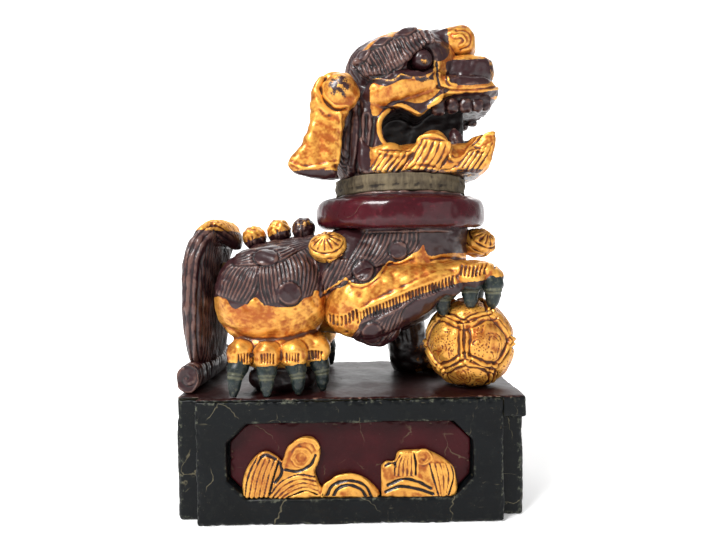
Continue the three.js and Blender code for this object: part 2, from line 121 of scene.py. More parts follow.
def tint(name, description, colour):
    """A colour property given as 0-255 values."""
    linear = [((c / 255 + 0.055) / 1.055) ** 2.4 if c > 10 else c / 255 / 12.92 for c in colour]
    return bpy.props.FloatVectorProperty(name=name, description=description, default=linear, size=3,
        subtype="COLOR", min=0, max=1)


class LionFinishes(bpy.types.PropertyGroup):
    """Colours of the finishes."""

    leaf: tint("Gold leaf", "Bright gold leaf", (230, 168, 74))
    # deep leaf: leaf over thin bole in random patches, and the painted shade of the gold in its hollows
    leaf_deep_and_shade: tint("Deep leaf", "Leaf over thin bole", (158, 80, 18))
    # brown leaf: old varnish in specks and stains, and painted shade in the gold's hollows
    leaf_brown_and_shade: tint("Brown leaf", "Leaf darkened by old varnish", (84, 42, 14))
    maroon: tint("Maroon", "Maroon lacquer of the hair", (44, 15, 19))
    # worn maroon: rubbed edges and ridges, partly a painted highlight along the ridges of the hair
    maroon_worn_and_highlight: tint("Worn maroon", "Maroon rubbed pale on the ridges", (128, 94, 82))
    # cavity colour: dirt in the cuts, and the painted shade in hollows, undersides, mouth and sockets
    cavity_dirt_and_shade: tint("Cavity", "Dirt in the gouge cuts", (15, 8, 8))
    black: tint("Black lacquer", "Lacquer of the plinth", (6, 10, 13))
    black_worn: tint("Worn black", "Black lacquer rubbed at the edges", (92, 94, 80))
    dust: tint("Dust", "Pale dust and chalky cracks", (132, 124, 98))
    ground: tint("Ground red", "Red of the sunk panel", (56, 10, 16))
    deck: tint("Deck", "Brown-red lacquer under the feet", (40, 14, 14))
    collar: tint("Collar", "Glossy oxblood lacquer of the collar", (66, 12, 22))
    bare: tint("Bare neck", "Grey wood of the neck", (106, 94, 72))
    bare_dark: tint("Dark bare wood", "Stains in the neck's wood", (48, 38, 28))
    claw: tint("Claws", "Black-green lacquer of the claws", (15, 24, 24))
    claw_pale: tint("Claw rings", "Pale rings cut in the claws", (92, 92, 72))
    dowel: tint("Dowel", "Plain turned wood", (164, 128, 84))
    floor: tint("Floor", "Plain pale floor", (246, 246, 246))


# ---- curves and noise


def curve(points, count):
    """A smooth line through points, as count rows."""
    p = np.asarray(points, float)
    if len(p) == 2:
        t = np.linspace(0, 1, count)[:, None]
        return p[0] * (1 - t) + p[1] * t
    padded = np.vstack([2 * p[0] - p[1], p, 2 * p[-1] - p[-2]])
    place = np.linspace(0, len(p) - 1, count)
    k = np.minimum(place.astype(int), len(p) - 2)
    t = (place - k)[:, None]
    a, b, c, d = (padded[k + i] for i in range(4))
    return 0.5 * (2 * b + (c - a) * t + (2 * a - 5 * b + 4 * c - d) * t**2 + (3 * b - a - 3 * c + d) * t**3)


def ripple(points, size, seed, waves=14):
    """Smooth unevenness between about -1 and 1, with bumps of the given size."""
    rng = np.random.default_rng(seed)
    heading = rng.normal(size=(waves, 3))
    heading /= np.linalg.norm(heading, axis=1)[:, None]
    pace = 2 * math.pi / (size * rng.uniform(0.7, 1.6, waves))
    phase = rng.uniform(0, 2 * math.pi, waves)
    total = np.zeros(len(points))
    for h, k, f in zip(heading, pace, phase):
        total += np.sin(points @ h * k + f)
    return total / math.sqrt(waves)


def smooth(value, low, high):
    """0 below low, 1 above high, and a smooth climb between."""
    t = np.clip((value - low) / (high - low), 0, 1)
    return t * t * (3 - 2 * t)


def bump(value, at, width):
    """1 where the value is at a place, falling to 0 away from it."""
    return np.exp(-(((value - at) / width) ** 2))


def gouged(turns, sharp=0.6):
    """Gouge cuts side by side, one in each half turn: 0 on a ridge, -1 in a cut."""
    return np.abs(np.sin(turns)) ** sharp - 1


def near(x, z, line, closed=False):
    """Distance from grid points to a line, and how far along it, from 0 to 1, they lie."""
    line = np.asarray(line, float)
    if closed:
        line = np.vstack([line, line[:1]])
    best = np.full(np.broadcast(x, z).shape, 1e9)
    along = np.zeros(best.shape)
    steps = len(line) - 1
    for i in range(steps):
        (ax, az), (bx, bz) = line[i][:2], line[i + 1][:2]
        dx, dz = bx - ax, bz - az
        t = np.clip(((x - ax) * dx + (z - az) * dz) / (dx * dx + dz * dz + 1e-9), 0, 1)
        d = (x - ax - t * dx) ** 2 + (z - az - t * dz) ** 2
        better = d < best
        best = np.where(better, d, best)
        along = np.where(better, (i + t) / steps, along)
    return np.sqrt(best), along


def within(x, z, outline):
    """Which grid points lie inside a closed outline."""
    inside = np.zeros(np.broadcast(x, z).shape, bool)
    p = np.asarray(outline, float)
    for (ax, az), (bx, bz) in zip(p, np.roll(p, -1, 0)):
        if az == bz:
            continue
        crosses = (az > z) != (bz > z)
        inside ^= crosses & (x < (bx - ax) * (z - az) / (bz - az) + ax)
    return inside


# ---- clay


class Clay:
    """A block of distances, in millimetres, that shapes are added to and cut from."""

    FAR = 4.0

    def __init__(self, low, high, cell):
        self.cell = cell
        self.low = np.array(low, float) - 4 * cell
        self.count = np.ceil((np.array(high) - self.low) / cell).astype(int) + 5
        self.far = np.full(self.count, self.FAR, np.float32)

    def window(self, low, high, margin):
        """The part of the block between two corners, and its sparse coordinates."""
        first = np.clip(np.floor((np.array(low) - margin - self.low) / self.cell), 0, self.count - 1).astype(int)
        last = np.clip(np.ceil((np.array(high) + margin - self.low) / self.cell), 1, self.count).astype(int)
        axes = [(self.low[i] + self.cell * np.arange(first[i], last[i])).astype(np.float32) for i in range(3)]
        x, y, z = axes
        part = tuple(slice(a, b) for a, b in zip(first, last))
        return part, x[:, None, None], y[None, :, None], z[None, None, :]

    def work(self, low, high, distance, blend=0.0, take=False):
        """Adds, or takes away, the shape whose distance(x, y, z) is given, within its box."""
        part, x, y, z = self.window(low, high, self.FAR + blend)
        if 0 in self.far[part].shape:
            return
        d = distance(x, y, z).astype(np.float32)
        old = self.far[part]
        if take:
            old, d = -old, d
        if blend:
            h = np.clip(0.5 + 0.5 * (old - d) / blend, 0, 1)
            new = old * (1 - h) + d * h - blend * h * (1 - h)
        else:
            new = np.minimum(old, d)
        self.far[part] = np.clip(-new if take else new, -self.FAR, self.FAR)

    def egg(self, centre, radii, blend=0.0, take=False, power=2.0):
        """An egg, squarer as its power grows."""
        c, r = np.array(centre, float), np.array(radii, float)

        def distance(x, y, z):
            a, b, e = x - c[0], y - c[1], z - c[2]
            ring = (np.abs(a / r[0]) ** power + np.abs(b / r[1]) ** power + np.abs(e / r[2]) ** power) ** (1 / power)
            reach = np.sqrt(a * a + b * b + e * e)
            return reach * (1 - 1 / np.maximum(ring, 1e-4))

        self.work(c - r, c + r, distance, blend, take)

    def limb(self, stations, blend=0.0, take=False, power=2.0, tapered=True):
        """A limb along a smooth line of [x, y, z, half width, half height] stations."""
        s = curve(stations, 48)
        t = np.linspace(0, 1, len(s))
        full = np.sqrt(np.clip(1 - (1 - 2 * t) ** 4, 0, 1)) if tapered else np.ones(len(s))
        wide, thick = s[:, 3] * full, np.maximum(s[:, 4] * full, 0.4)
        reach = s[:, 3:].max()

        def distance(x, y, z):
            d, along = near(x[:, 0, :], z[0], s[:, [0, 2]])
            w = np.interp(along, t, wide)[:, None, :]
            h = np.interp(along, t, thick)[:, None, :]
            mid = np.interp(along, t, s[:, 1])[:, None, :]
            d = d[:, None, :]
            side = np.abs(y - mid)
            ring = ((d / h) ** power + (side / np.maximum(w, 0.4)) ** power) ** (1 / power)
            return np.sqrt(d * d + side * side) * (1 - 1 / np.maximum(ring, 1e-4))

        self.work(s[:, :3].min(0) - reach, s[:, :3].max(0) + reach, distance, blend, take)

    def board(self, outline, y_low, y_high, soft=1.0, blend=0.0, take=False, steps=8):
        """An outline in the XZ plane, carried through Y, with rounded edges."""
        p = np.asarray(outline, float)
        if steps > 1:
            p = curve(np.vstack([p, p[:1]]), len(p) * steps)[:-1]

        def distance(x, y, z):
            gx, gz = x[:, 0, :], z[0]
            d, _ = near(gx, gz, p, closed=True)
            d = np.where(within(gx, gz, p), -d, d)[:, None, :] + soft
            side = np.abs(y - (y_low + y_high) / 2) - (y_high - y_low) / 2 + soft
            return np.hypot(np.maximum(d, 0), np.maximum(side, 0)) + np.minimum(np.maximum(d, side), 0) - soft

        low, high = p.min(0), p.max(0)
        self.work((low[0], y_low, low[1]), (high[0], y_high, high[1]), distance, blend, take)

    def block(self, low, high, soft=1.0, blend=0.0, take=False):
        """A block with rounded edges."""
        low, high = np.array(low, float), np.array(high, float)
        mid, half = (low + high) / 2, (high - low) / 2 - soft

        def distance(x, y, z):
            a, b, c = np.abs(x - mid[0]) - half[0], np.abs(y - mid[1]) - half[1], np.abs(z - mid[2]) - half[2]
            out = np.sqrt(np.maximum(a, 0) ** 2 + np.maximum(b, 0) ** 2 + np.maximum(c, 0) ** 2)
            return out + np.minimum(np.maximum(a, np.maximum(b, c)), 0) - soft

        self.work(low, high, distance, blend, take)

    def trim(self, low, high):
        """Cuts a square-edged block away."""
        self.block(low, high, soft=0.1, take=True)

    def rope(self, points, radii, blend=0.0, take=False, count=16):
        """A round cord of changing thickness along a smooth line."""
        p = curve(points, count)
        r = np.interp(np.linspace(0, 1, count), np.linspace(0, 1, len(radii)), radii)
        for i in range(count - 1):
            a, b, ra, rb = p[i], p[i + 1], r[i], r[i + 1]
            ab = b - a

            def distance(x, y, z):
                t = np.clip(((x - a[0]) * ab[0] + (y - a[1]) * ab[1] + (z - a[2]) * ab[2]) / (ab @ ab), 0, 1)
                gap = (x - a[0] - t * ab[0]) ** 2 + (y - a[1] - t * ab[1]) ** 2 + (z - a[2] - t * ab[2]) ** 2
                return np.sqrt(gap) - (ra + (rb - ra) * t)

            top = max(ra, rb)
            self.work(np.minimum(a, b) - top, np.maximum(a, b) + top, distance, blend, take)

    def turn(self, profile, centre, oval=1.0, soft=0.0, blend=0.0, take=False):
        """A body of revolution about Z, from [radius, height] points of its outer side."""
        p = np.asarray(profile, float)
        outline = np.vstack([[-p[0][0], p[0][1]], p, [-p[-1][0], p[-1][1]]])

        def distance(x, y, z):
            r = np.sqrt((x - centre[0]) ** 2 + ((y - centre[1]) / oval) ** 2)
            gz = z - centre[2]
            steps = np.arange(0, r.max() + 2 * self.cell, self.cell)
            flat, _ = near(steps[:, None], gz[0], outline, closed=True)
            flat = np.where(within(steps[:, None], gz[0], outline), -flat, flat) + soft
            place = r / self.cell
            k = np.minimum(place.astype(int), len(steps) - 2)
            f = place - k
            rows = np.arange(gz.shape[2])[None, None, :]
            return flat[k, rows] * (1 - f) + flat[k + 1, rows] * f - soft

        reach = p[:, 0].max()
        low = np.array([centre[0] - reach, centre[1] - reach * oval, centre[2] + p[:, 1].min()])
        high = np.array([centre[0] + reach, centre[1] + reach * oval, centre[2] + p[:, 1].max()])
        self.work(low, high, distance, blend, take)

    def skin(self, ease=2):
        """The clay's surface."""
        grid = openvdb.FloatGrid(self.FAR)
        grid.copyFromArray(self.far)
        points, quads = grid.convertToQuads(isovalue=0.0)
        made = Skin(points.astype(float) * self.cell + self.low, quads.astype(np.int64))
        made.ease(ease)
        return made


class Skin:
    """A surface of points and four-sided faces, in millimetres, with fields on its points."""

    def __init__(self, points, quads):
        self.p, self.q = points, quads
        self.drop_crumbs()
        self.fields = {}

    @property
    def x(self):
        return self.p[:, 0]

    @property
    def y(self):
        return self.p[:, 1]

    @property
    def z(self):
        return self.p[:, 2]

    def edges(self):
        """Pairs of neighbouring points."""
        return np.vstack([self.q[:, [i, (i + 1) % 4]] for i in range(4)])

    def drop_crumbs(self, share=0.02):
        """Leaves out pieces that hold less than a share of the points."""
        e = self.edges()
        label = np.arange(len(self.p))
        while True:
            old = label.copy()
            least = np.minimum(label[e[:, 0]], label[e[:, 1]])
            np.minimum.at(label, e[:, 0], least)
            np.minimum.at(label, e[:, 1], least)
            label = label[label]
            if (label == old).all():
                break
        size = np.bincount(label, minlength=len(self.p))
        keep = size[label] > share * len(self.p)
        if keep.all():
            return
        number = np.cumsum(keep) - 1
        self.q = number[self.q[keep[self.q].all(1)]]
        self.p = self.p[keep]

    def spread(self, field, times=1):
        """A field averaged with its neighbours."""
        e = self.edges()
        size = len(self.p)
        weight = np.bincount(e[:, 0], minlength=size) + np.bincount(e[:, 1], minlength=size)
        for _ in range(times):
            total = np.bincount(e[:, 0], field[e[:, 1]], size) + np.bincount(e[:, 1], field[e[:, 0]], size)
            field = 0.4 * field + 0.6 * total / np.maximum(weight, 1)
        return field

    def ease(self, times):
        """Calms the surface."""
        for _ in range(times):
            self.p = np.stack([self.spread(self.p[:, i]) for i in range(3)], 1)

    def normals(self):
        """The outward direction at each point."""
        a = self.p[self.q[:, 2]] - self.p[self.q[:, 0]]
        b = self.p[self.q[:, 3]] - self.p[self.q[:, 1]]
        flat = np.cross(a, b)
        size = len(self.p)
        n = np.stack([sum(np.bincount(self.q[:, k], flat[:, i], size) for k in range(4)) for i in range(3)], 1)
        return n / np.maximum(np.linalg.norm(n, axis=1), 1e-9)[:, None]

    def mirror(self):
        """Turns the skin into its twin on the lion's other side."""
        self.p[:, 1] *= -1
        self.q = self.q[:, ::-1]

    def push(self, height, normals=None):
        """Moves the surface outwards by a height at each point."""
        n = self.normals() if normals is None else normals
        self.p = self.p + n * np.asarray(height)[:, None]

    def proud_and_hollow(self):
        """Fields that say where the surface stands proud and where it is hollow, for wear, dirt, painted highlight
        and painted shade.
        """
        n = self.normals()
        proud = np.zeros(len(self.p))
        for times, gain in ((2, 1.2), (9, 0.8)):
            calm = np.stack([self.spread(self.p[:, i], times) for i in range(3)], 1)
            bend = np.einsum("ij,ij->i", self.p - calm, n)
            proud += gain * self.spread(bend, 1) / (0.10 * math.sqrt(times))
        self.fields["proud"] = np.clip(proud, 0, 1)
        self.fields["hollow"] = np.clip(-proud, 0, 1)

    def piece(self, name, body, nodes, slot, finish):
        """The surface as a Blender object that stands for CAD nodes."""
        mesh = bpy.data.meshes.new(name)
        mesh.vertices.add(len(self.p))
        mesh.vertices.foreach_set("co", (self.p * MM).astype(np.float32).ravel())
        mesh.loops.add(self.q.size)
        mesh.loops.foreach_set("vertex_index", self.q.astype(np.int32).ravel())
        mesh.polygons.add(len(self.q))
        mesh.polygons.foreach_set("loop_start", np.arange(0, self.q.size, 4, dtype=np.int32))
        mesh.polygons.foreach_set("use_smooth", np.ones(len(self.q), bool))
        mesh.update(calc_edges=True)
        if "proud" not in self.fields:
            self.proud_and_hollow()
        for field, values in self.fields.items():
            layer = mesh.attributes.new(field, "FLOAT", "POINT")
            layer.data.foreach_set("value", np.asarray(values, np.float32))
        mesh.materials.append(finish)
        made = bpy.data.objects.new(name, mesh)
        bpy.context.scene.collection.objects.link(made)
        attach(made, body)
        if nodes:
            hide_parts(*nodes)
        return made


def net(rings, around):
    """Faces between rings of points, each ring joined to the next."""
    quads = []
    for i in range(0, (rings - 1) * around, around):
        for j in range(around):
            k = (j + 1) % around
            quads.append([i + j, i + k, i + around + k, i + around + j])
    return quads


def swept(line, radii, around=20, flat=1.0):
    """A closed tube of changing radius along a line, with quads at its ends."""
    line, radii = np.asarray(line, float), np.asarray(radii, float)
    along = np.gradient(line, axis=0)
    along /= np.linalg.norm(along, axis=1)[:, None]
    aside = np.cross(along, [0.0, 0.31, 0.95] if abs(along[0][2]) < 0.9 else [0.0, 1.0, 0.1])
    aside /= np.linalg.norm(aside, axis=1)[:, None]
    other = np.cross(along, aside)
    turn = np.arange(around) * 2 * math.pi / around
    rings = line[:, None] + radii[:, None, None] * (np.cos(turn)[None, :, None] * aside[:,
        None] + flat * np.sin(turn)[None, :, None] * other[:, None])
    points = rings.reshape(-1, 3)
    quads = net(len(line), around)
    for start, way in ((0, -1), ((len(line) - 1) * around, 1)):
        for j in range(around // 2 - 1):
            cap = [start + j, start + j + 1, start + around - 2 - j, start + around - 1 - j]
            quads.append(cap if way > 0 else cap[::-1])
    return points, np.array(quads, np.int64)


def gathered(parts):
    """Several (points, quads) pairs as one skin, none of them dropped."""
    points, quads, start = [], [], 0
    for p, q in parts:
        points.append(p)
        quads.append(q + start)
        start += len(p)
    made = Skin.__new__(Skin)
    made.p, made.q, made.fields = np.vstack(points), np.vstack(quads), {}
    return made


# ---- carving drawn on a sheet


class Sheet:
    """Heights and gilding drawn on an upright sheet, in millimetres along X and Z."""

    STEP = 0.35

    def __init__(self, low, high):
        self.low = np.array(low, float)
        count = np.ceil((np.array(high) - low) / self.STEP).astype(int)
        self.height = np.zeros(count)
        self.gilt = np.zeros(count)
        self.x = (self.low[0] + self.STEP * np.arange(count[0]))[:, None]
        self.z = (self.low[1] + self.STEP * np.arange(count[1]))[None, :]

    def part(self, points, margin):
        """The part of the sheet round some points, with its X and Z."""
        p = np.asarray(points, float)
        first = np.clip((p.min(0) - margin - self.low) / self.STEP, 0, np.array(self.height.shape) - 2).astype(int)
        last = np.clip((p.max(0) + margin - self.low) / self.STEP, 2, self.height.shape).astype(int)
        where = (slice(first[0], last[0]), slice(first[1], last[1]))
        return where, self.x[where[0]], self.z[:, where[1]]

    def lock(self, first, last, strands, lift=None, depth=None):
        """A lock of hair between its first and its last strand, never gilded."""
        sizes = bpy.context.scene.lion_sizes
        lift = sizes.lock_lift / MM if lift is None else lift
        depth = sizes.strand_depth / MM if depth is None else depth
        a, b = curve(first, 260), curve(last, 260)
        u = np.linspace(0, 1, 420)
        spots = a[None] * (1 - u)[:, None, None] + b[None] * u[:, None, None]
        v = np.linspace(0, 1, 260)[None, :]
        bulge = np.sqrt(np.clip(1 - np.abs(2 * u[:, None] - 1) ** 4, 0, 1))
        ends = np.sqrt(np.clip(1 - np.abs(2 * v - 1) ** 12, 0, 1))
        gouge = gouged(math.pi * u[:, None] * strands)
        height = lift * bulge * ends + depth * gouge * ends
        k = np.round((spots - self.low) / self.STEP).astype(int)
        good = ((k >= 0) & (k < self.height.shape)).all(2)
        self.height[k[..., 0][good], k[..., 1][good]] = height[good]
        self.gilt[k[..., 0][good], k[..., 1][good]] = 0

    def stroke(self, points, width, height, gilt=None, count=40):
        """A ridge, or a cut where the height is below 0, along a smooth line."""
        line = curve(points, count)
        where, x, z = self.part(line, 3 * width)
        d, _ = near(x, z, line)
        self.height[where] += height * bump(d, 0, width)
        if gilt is not None:
            self.gilt[where] = np.where(d < width, gilt, self.gilt[where])

    def disc(self, centre, radius, height, oval=1.0, ring=0.9):
        """A smooth round boss in the hair, with a cut round it."""
        c = np.array(centre, float)
        where, x, z = self.part([c - radius * 1.4, c + radius * 1.4], 1)
        d = np.hypot(x - c[0], (z - c[1]) / oval)
        dome = height * np.sqrt(np.clip(1 - (d / radius) ** 2, 0, 1)) ** 0.5
        self.height[where] = np.where(d < radius, dome, self.height[where] - ring * bump(d - radius, 0.6, 0.8))
        self.gilt[where] = np.where(d < radius + 0.5, 0, self.gilt[where])

    def fill(self, outline, gilt=None, lift=0.0, soft=1.0, steps=4):
        """A gilded or raised patch inside a smooth outline."""
        p = np.asarray(outline, float)
        line = curve(np.vstack([p, p[:1]]), len(p) * steps)[:-1]
        where, x, z = self.part(line, soft + 1)
        inside = within(x, z, line)
        if gilt is not None:
            self.gilt[where] = np.where(inside, gilt, self.gilt[where])
        if lift:
            d, _ = near(x, z, line, closed=True)
            self.height[where] += lift * smooth(np.where(inside, d, -d), -soft / 2, soft)

    def slits(self, points, pitch, length, lean=0.0, width=0.5, depth=None):
        """A fringe of short cuts hanging from a line."""
        depth = bpy.context.scene.lion_sizes.slit_depth / MM if depth is None else depth
        line = curve(points, 200)
        run = np.concatenate([[0], np.cumsum(np.linalg.norm(np.diff(line, axis=0), axis=1))])
        for at in np.arange(pitch / 2, run[-1], pitch):
            x, z = (np.interp(at, run, line[:, i]) for i in range(2))
            self.stroke([(x, z), (x + lean * length, z - length)], width, -depth, count=2)

    def soften(self, times=1):
        """Blurs the drawing a little."""
        for _ in range(times):
            for field in ("height", "gilt"):
                f = getattr(self, field)
                for axis in (0, 1):
                    f = 0.5 * f + 0.25 * (np.roll(f, 1, axis) + np.roll(f, -1, axis))
                setattr(self, field, f)

    def read(self, field, x, z):
        """The drawing's value at each place."""
        f = getattr(self, field)
        a = np.clip((x - self.low[0]) / self.STEP, 0, f.shape[0] - 1.001)
        b = np.clip((z - self.low[1]) / self.STEP, 0, f.shape[1] - 1.001)
        i, j = a.astype(int), b.astype(int)
        s, t = a - i, b - j
        upper = f[i, j + 1] * (1 - s) + f[i + 1, j + 1] * s
        return (f[i, j] * (1 - s) + f[i + 1, j] * s) * (1 - t) + upper * t


def on_sheet(points):
    """Where points of the flank, or of its mirror image, lie on the sheet."""
    ex, ey, ez = EYE_POINT
    share = (SHEET_Y - ey) / (-np.abs(points[:, 1]) - ey)
    return ex + (points[:, 0] - ex) * share, ez + (points[:, 2] - ez) * share


def draw_gilding(s):
    """Gilding of the haunch, the lifted foreleg and the tail's crest."""
    s.fill([(-95.5, 153.5), (-91, 154.5), (-86.5, 153), (-80.5, 145.5), (-71.5, 150), (-65.5, 153.5),
        (-59.5, 148.5), (-47, 146), (-36.5, 147.5), (-29, 154.5), (-20.5, 156.5), (-17, 133), (-16, 102),
        (-85.5, 103), (-89.5, 129), (-94.5, 141.5)], gilt=1)
    s.fill([(-20, 152.5), (-11.5, 158), (-2.5, 164), (4.5, 161.5), (17, 162.5), (23.5, 168), (29, 177.5),
        (40, 180), (50, 185), (54, 189), (58, 181), (75.5, 183), (116, 180), (116, 168.5), (98.5, 163.5),
        (79, 161.5), (73.5, 160), (66.5, 158), (52, 154), (34.5, 147), (22, 143), (11.5, 138.5), (7.5, 133),
        (5, 126), (-1.5, 118), (-12, 114), (-21, 117.5)], gilt=1)
    s.fill([(-113, 205), (-102, 212.5), (-88, 208.5), (-74.5, 196.5), (-77.5, 191.5), (-90, 201),
        (-100.5, 205.5), (-110.5, 197)], gilt=1)


def draw_haunch(s):
    """Hair of the haunch, with its bosses."""
    s.lock([(-71, 179), (-83, 177.5), (-90.5, 169), (-94, 156)], [(-62, 176.5), (-62.5, 166.5), (-65.5, 157),
        (-71.5, 148.5)], 10)
    s.lock([(-62, 176.5), (-63.5, 165.5), (-62.5, 157), (-59, 147.5)], [(-29.5, 191), (-21.5, 179),
        (-21.5, 167), (-25.5, 154)], 15)
    s.lock([(-81.5, 180), (-71, 191), (-55, 193.5), (-39, 194), (-19.5, 196)], [(-81, 175.5), (-66, 175.5),
        (-48, 178), (-35.5, 184.5), (-20.5, 191)], 7)
    s.disc((-57.5, 181), 8.6, 1.8, oval=0.66)
    s.disc((-41.5, 156), 8.2, 1.9)


def draw_shoulder(s):
    """Hair of the shoulder, with its bosses."""
    s.lock([(-9.5, 180.5), (-16, 172), (-20, 161.5), (-20.5, 152.5)], [(7, 179), (5.5, 170), (-0.5, 164),
        (-7, 159.5)], 6)
    s.lock([(12, 199), (6, 187.5), (-0.5, 177), (-5.5, 166.5)], [(50, 199.5), (50, 190.5), (44.5, 182.5),
        (31, 176.5)], 13)
    s.disc((11, 171), 7.4, 1.7)
    s.disc((36, 185), 6.4, 1.6)
    s.stroke([(-18.5, 156), (-11.5, 160), (-1.5, 165), (3.5, 161.5), (11.5, 161), (20, 166), (23.5, 170.5),
        (29, 177), (35.5, 176.5), (45.5, 180.5)], 0.8, 0.9, gilt=1)


def draw_foreleg(s):
    """A smooth raised flap on the gilded foreleg, with a cut fringe under it."""
    wide = 0.7
    s.fill([(7, 142.5), (15, 148.5), (27.5, 154.5), (43.5, 161.5), (59.5, 169), (75.5, 170), (75, 165),
        (54, 158.5), (40, 153.5), (25.5, 148), (11.5, 142)], lift=1.4, soft=2.0)
    s.slits([(-15.5, 140.5), (-4.5, 138.5), (6, 143.5)], 3.0, 5.5, width=wide)
    s.slits([(5, 140), (11.5, 143.5), (25.5, 148), (40, 154), (54, 159), (67.5, 164), (75, 166)], 2.5, 6.0,
        lean=0.1, width=wide)
    s.slits([(79, 174.5), (88.5, 173), (98.5, 174.5)], 3.0, 6.5, lean=-0.2, width=0.8)
    s.slits([(103, 177.5), (113.5, 178.5)], 3.0, 5.0, width=0.8)
    s.stroke([(-11.5, 159.5), (-1, 162.5), (10, 166)], 0.7, -1.0)
    s.stroke([(59.5, 178), (70, 179.5), (80.5, 178.5), (96.5, 179.5)], 0.9, -0.9)
    s.stroke([(-14.5, 128.5), (-8.5, 126), (-1.5, 127.5)], 1.0, -1.1)


def draw_toes(s):
    """Short cuts over the toes of the haunch."""
    knuckles = (([(-79.5, 113), (-74, 113.5), (-68.5, 112.5)], 6.0), ([(-63.5, 112.5), (-57, 113), (-51, 112)],
        6.0), ([(-46, 113), (-40, 113.5), (-35, 112.5)], 5.0), ([(-29.5, 114), (-24, 114.5), (-19, 113.5)], 5.0))
    for line, long in knuckles:
        s.slits(line, 2.3, long, width=0.7)
    s.stroke([(-89.5, 134.5), (-72, 125), (-54.5, 123.5), (-36.5, 125.5), (-20.5, 130.5)], 1.4, -0.8)


def draw_tuft(s):
    """The tuft under the elbow."""
    s.lock([(8, 130.5), (3.5, 126), (-1.5, 120), (-5, 116)], [(53, 154), (40.5, 144.5), (35, 132.5),
        (28.5, 121.5)], 11)
    s.disc((16.5, 127), 7.4, 1.7)


def draw_brow(s):
    """The brow's combed hair and the eye's lids."""
    s.fill([(2, 312), (4, 316), (11, 325), (22, 333.5), (33.5, 339), (53, 342), (67, 345), (81, 344.5),
        (81, 339), (65.5, 340.5), (53, 339), (39, 336.5), (22, 330), (12, 323), (6.5, 315)], gilt=0.75)
    s.lock([(9.5, 317), (12, 312.5), (15, 308.5)], [(21.5, 326.5), (27, 317), (30, 308.5)], 5, lift=2.2, depth=2.0)
    s.lock([(20.5, 326), (25.5, 317), (29.5, 308)], [(36, 333), (39.5, 325), (42, 318)], 6, lift=2.6, depth=2.0)
    s.lock([(35, 332.5), (39, 325.5), (42, 317.5)], [(51.5, 338.5), (54.5, 334), (57, 329.5)], 6, lift=2.4, depth=2.0)
    s.lock([(51.5, 339), (54.5, 334.5), (57, 329.5)], [(59.5, 338.5), (61.5, 335), (63.5, 330)], 2, lift=1.6,
        depth=1.8)
    for first, last in (([(5.5, 315), (11.5, 323.5), (19, 326)], [(5.5, 315), (14, 316.5), (19, 323.5)]),
            ([(18, 327), (25, 332.5), (33.5, 334)], [(18, 327), (27.5, 327.5), (33.5, 332.5)]),
            ([(34, 334), (42, 339), (51.5, 339.5)], [(34, 334), (44.5, 334), (51.5, 338)])):
        s.lock(first, last, 1, lift=2.6, depth=0)
    s.stroke([(6, 314), (14.5, 307.5), (23, 304.5), (32.5, 308), (39.5, 315), (44.5, 323), (51.5, 328.5),
        (58.5, 330.5), (67, 330)], 1.3, 1.5)
    s.stroke([(18, 305.5), (33, 304), (39.5, 308), (45.5, 306.5), (53.5, 306.5), (60, 308.5), (64, 313)], 0.8,
        1.3, gilt=0.5)
    s.fill([(33, 313), (39.5, 318), (44.5, 320), (41.5, 309), (35, 307.5)], lift=0.6)


def draw_muzzle(s):
    """Gilding and lines of the cheek, muzzle and lip."""
    s.fill([(17, 300.5), (20.5, 303), (28.5, 300.5), (38.5, 304.5), (47, 305.5), (55.5, 305), (65.5, 303.5),
        (66.5, 298.5), (62.5, 293), (52.5, 288.5), (44, 289.5), (37, 290.5), (30.5, 289), (24, 281.5),
        (21, 280), (18, 283)], gilt=1)
    s.fill([(48, 307.5), (55.5, 307.5), (60, 305.5), (58, 303), (51, 303)], gilt=0.4)
    s.fill([(62.5, 317.5), (67, 321), (103.5, 321), (108.5, 317), (108, 299), (94.5, 297), (72, 297),
        (63, 301.5)], gilt=1)
    s.fill([(71, 315), (74, 318), (98.5, 319), (101.5, 316), (102, 302.5), (96, 301), (78, 300.5), (71, 303.5)],
        gilt=0.12, lift=0.5)
    s.stroke([(72.5, 305.5), (73.5, 302), (78, 300.5)], 0.9, 1.0, gilt=1)
    s.stroke([(65, 300), (73.5, 297), (86.5, 297), (99, 298), (107.5, 299.5)], 0.9, -1.4)
    s.stroke([(58.5, 285.5), (62.5, 289), (67, 292.5), (75, 295.5), (85, 296.5), (96, 297), (108.5, 298.5)],
        1.4, 1.4, gilt=1)
    s.fill([(68, 290), (76.5, 293.5), (89, 294.5), (108, 296), (108, 292), (89, 291), (76.5, 290.5),
        (70.5, 288)], gilt=0)
    s.stroke([(69.5, 288), (80.5, 290), (94.5, 290.5), (107.5, 291.5)], 1.0, 0.8, gilt=0.8)
    s.fill([(72.5, 339), (77, 342), (92.5, 341.5), (93.5, 321), (74, 319), (72, 326.5)], gilt=1)
    s.fill([(58, 336.5), (67, 337), (75.5, 334), (74, 328), (72, 320.5), (65.5, 317.5), (58.5, 322.5)], gilt=0.02)
    s.stroke([(78.5, 339), (85.5, 339), (89.5, 334), (88, 328), (81.5, 325)], 1.0, -1.4)
    s.stroke([(77, 334.5), (82, 335), (84.5, 331.5), (81.5, 328)], 0.9, 1.2)
    s.fill([(75, 338), (79.5, 338.5), (79, 332), (75, 331)], gilt=0.4)
    s.stroke([(64.5, 316.5), (65.5, 306), (66.5, 301)], 0.9, -1.6, gilt=0)


def draw_mouth_rim(s):
    """The rim of the mouth's drilled corner."""
    s.stroke([(43.5, 257.5), (36.5, 255.5), (29, 258.5), (24, 266), (23, 273), (25.5, 279.5), (31.5, 285),
        (38.5, 287), (45.5, 284), (52.5, 280), (57.5, 282), (61, 287.5), (66.5, 291)], 1.6, 1.3, gilt=0.8)


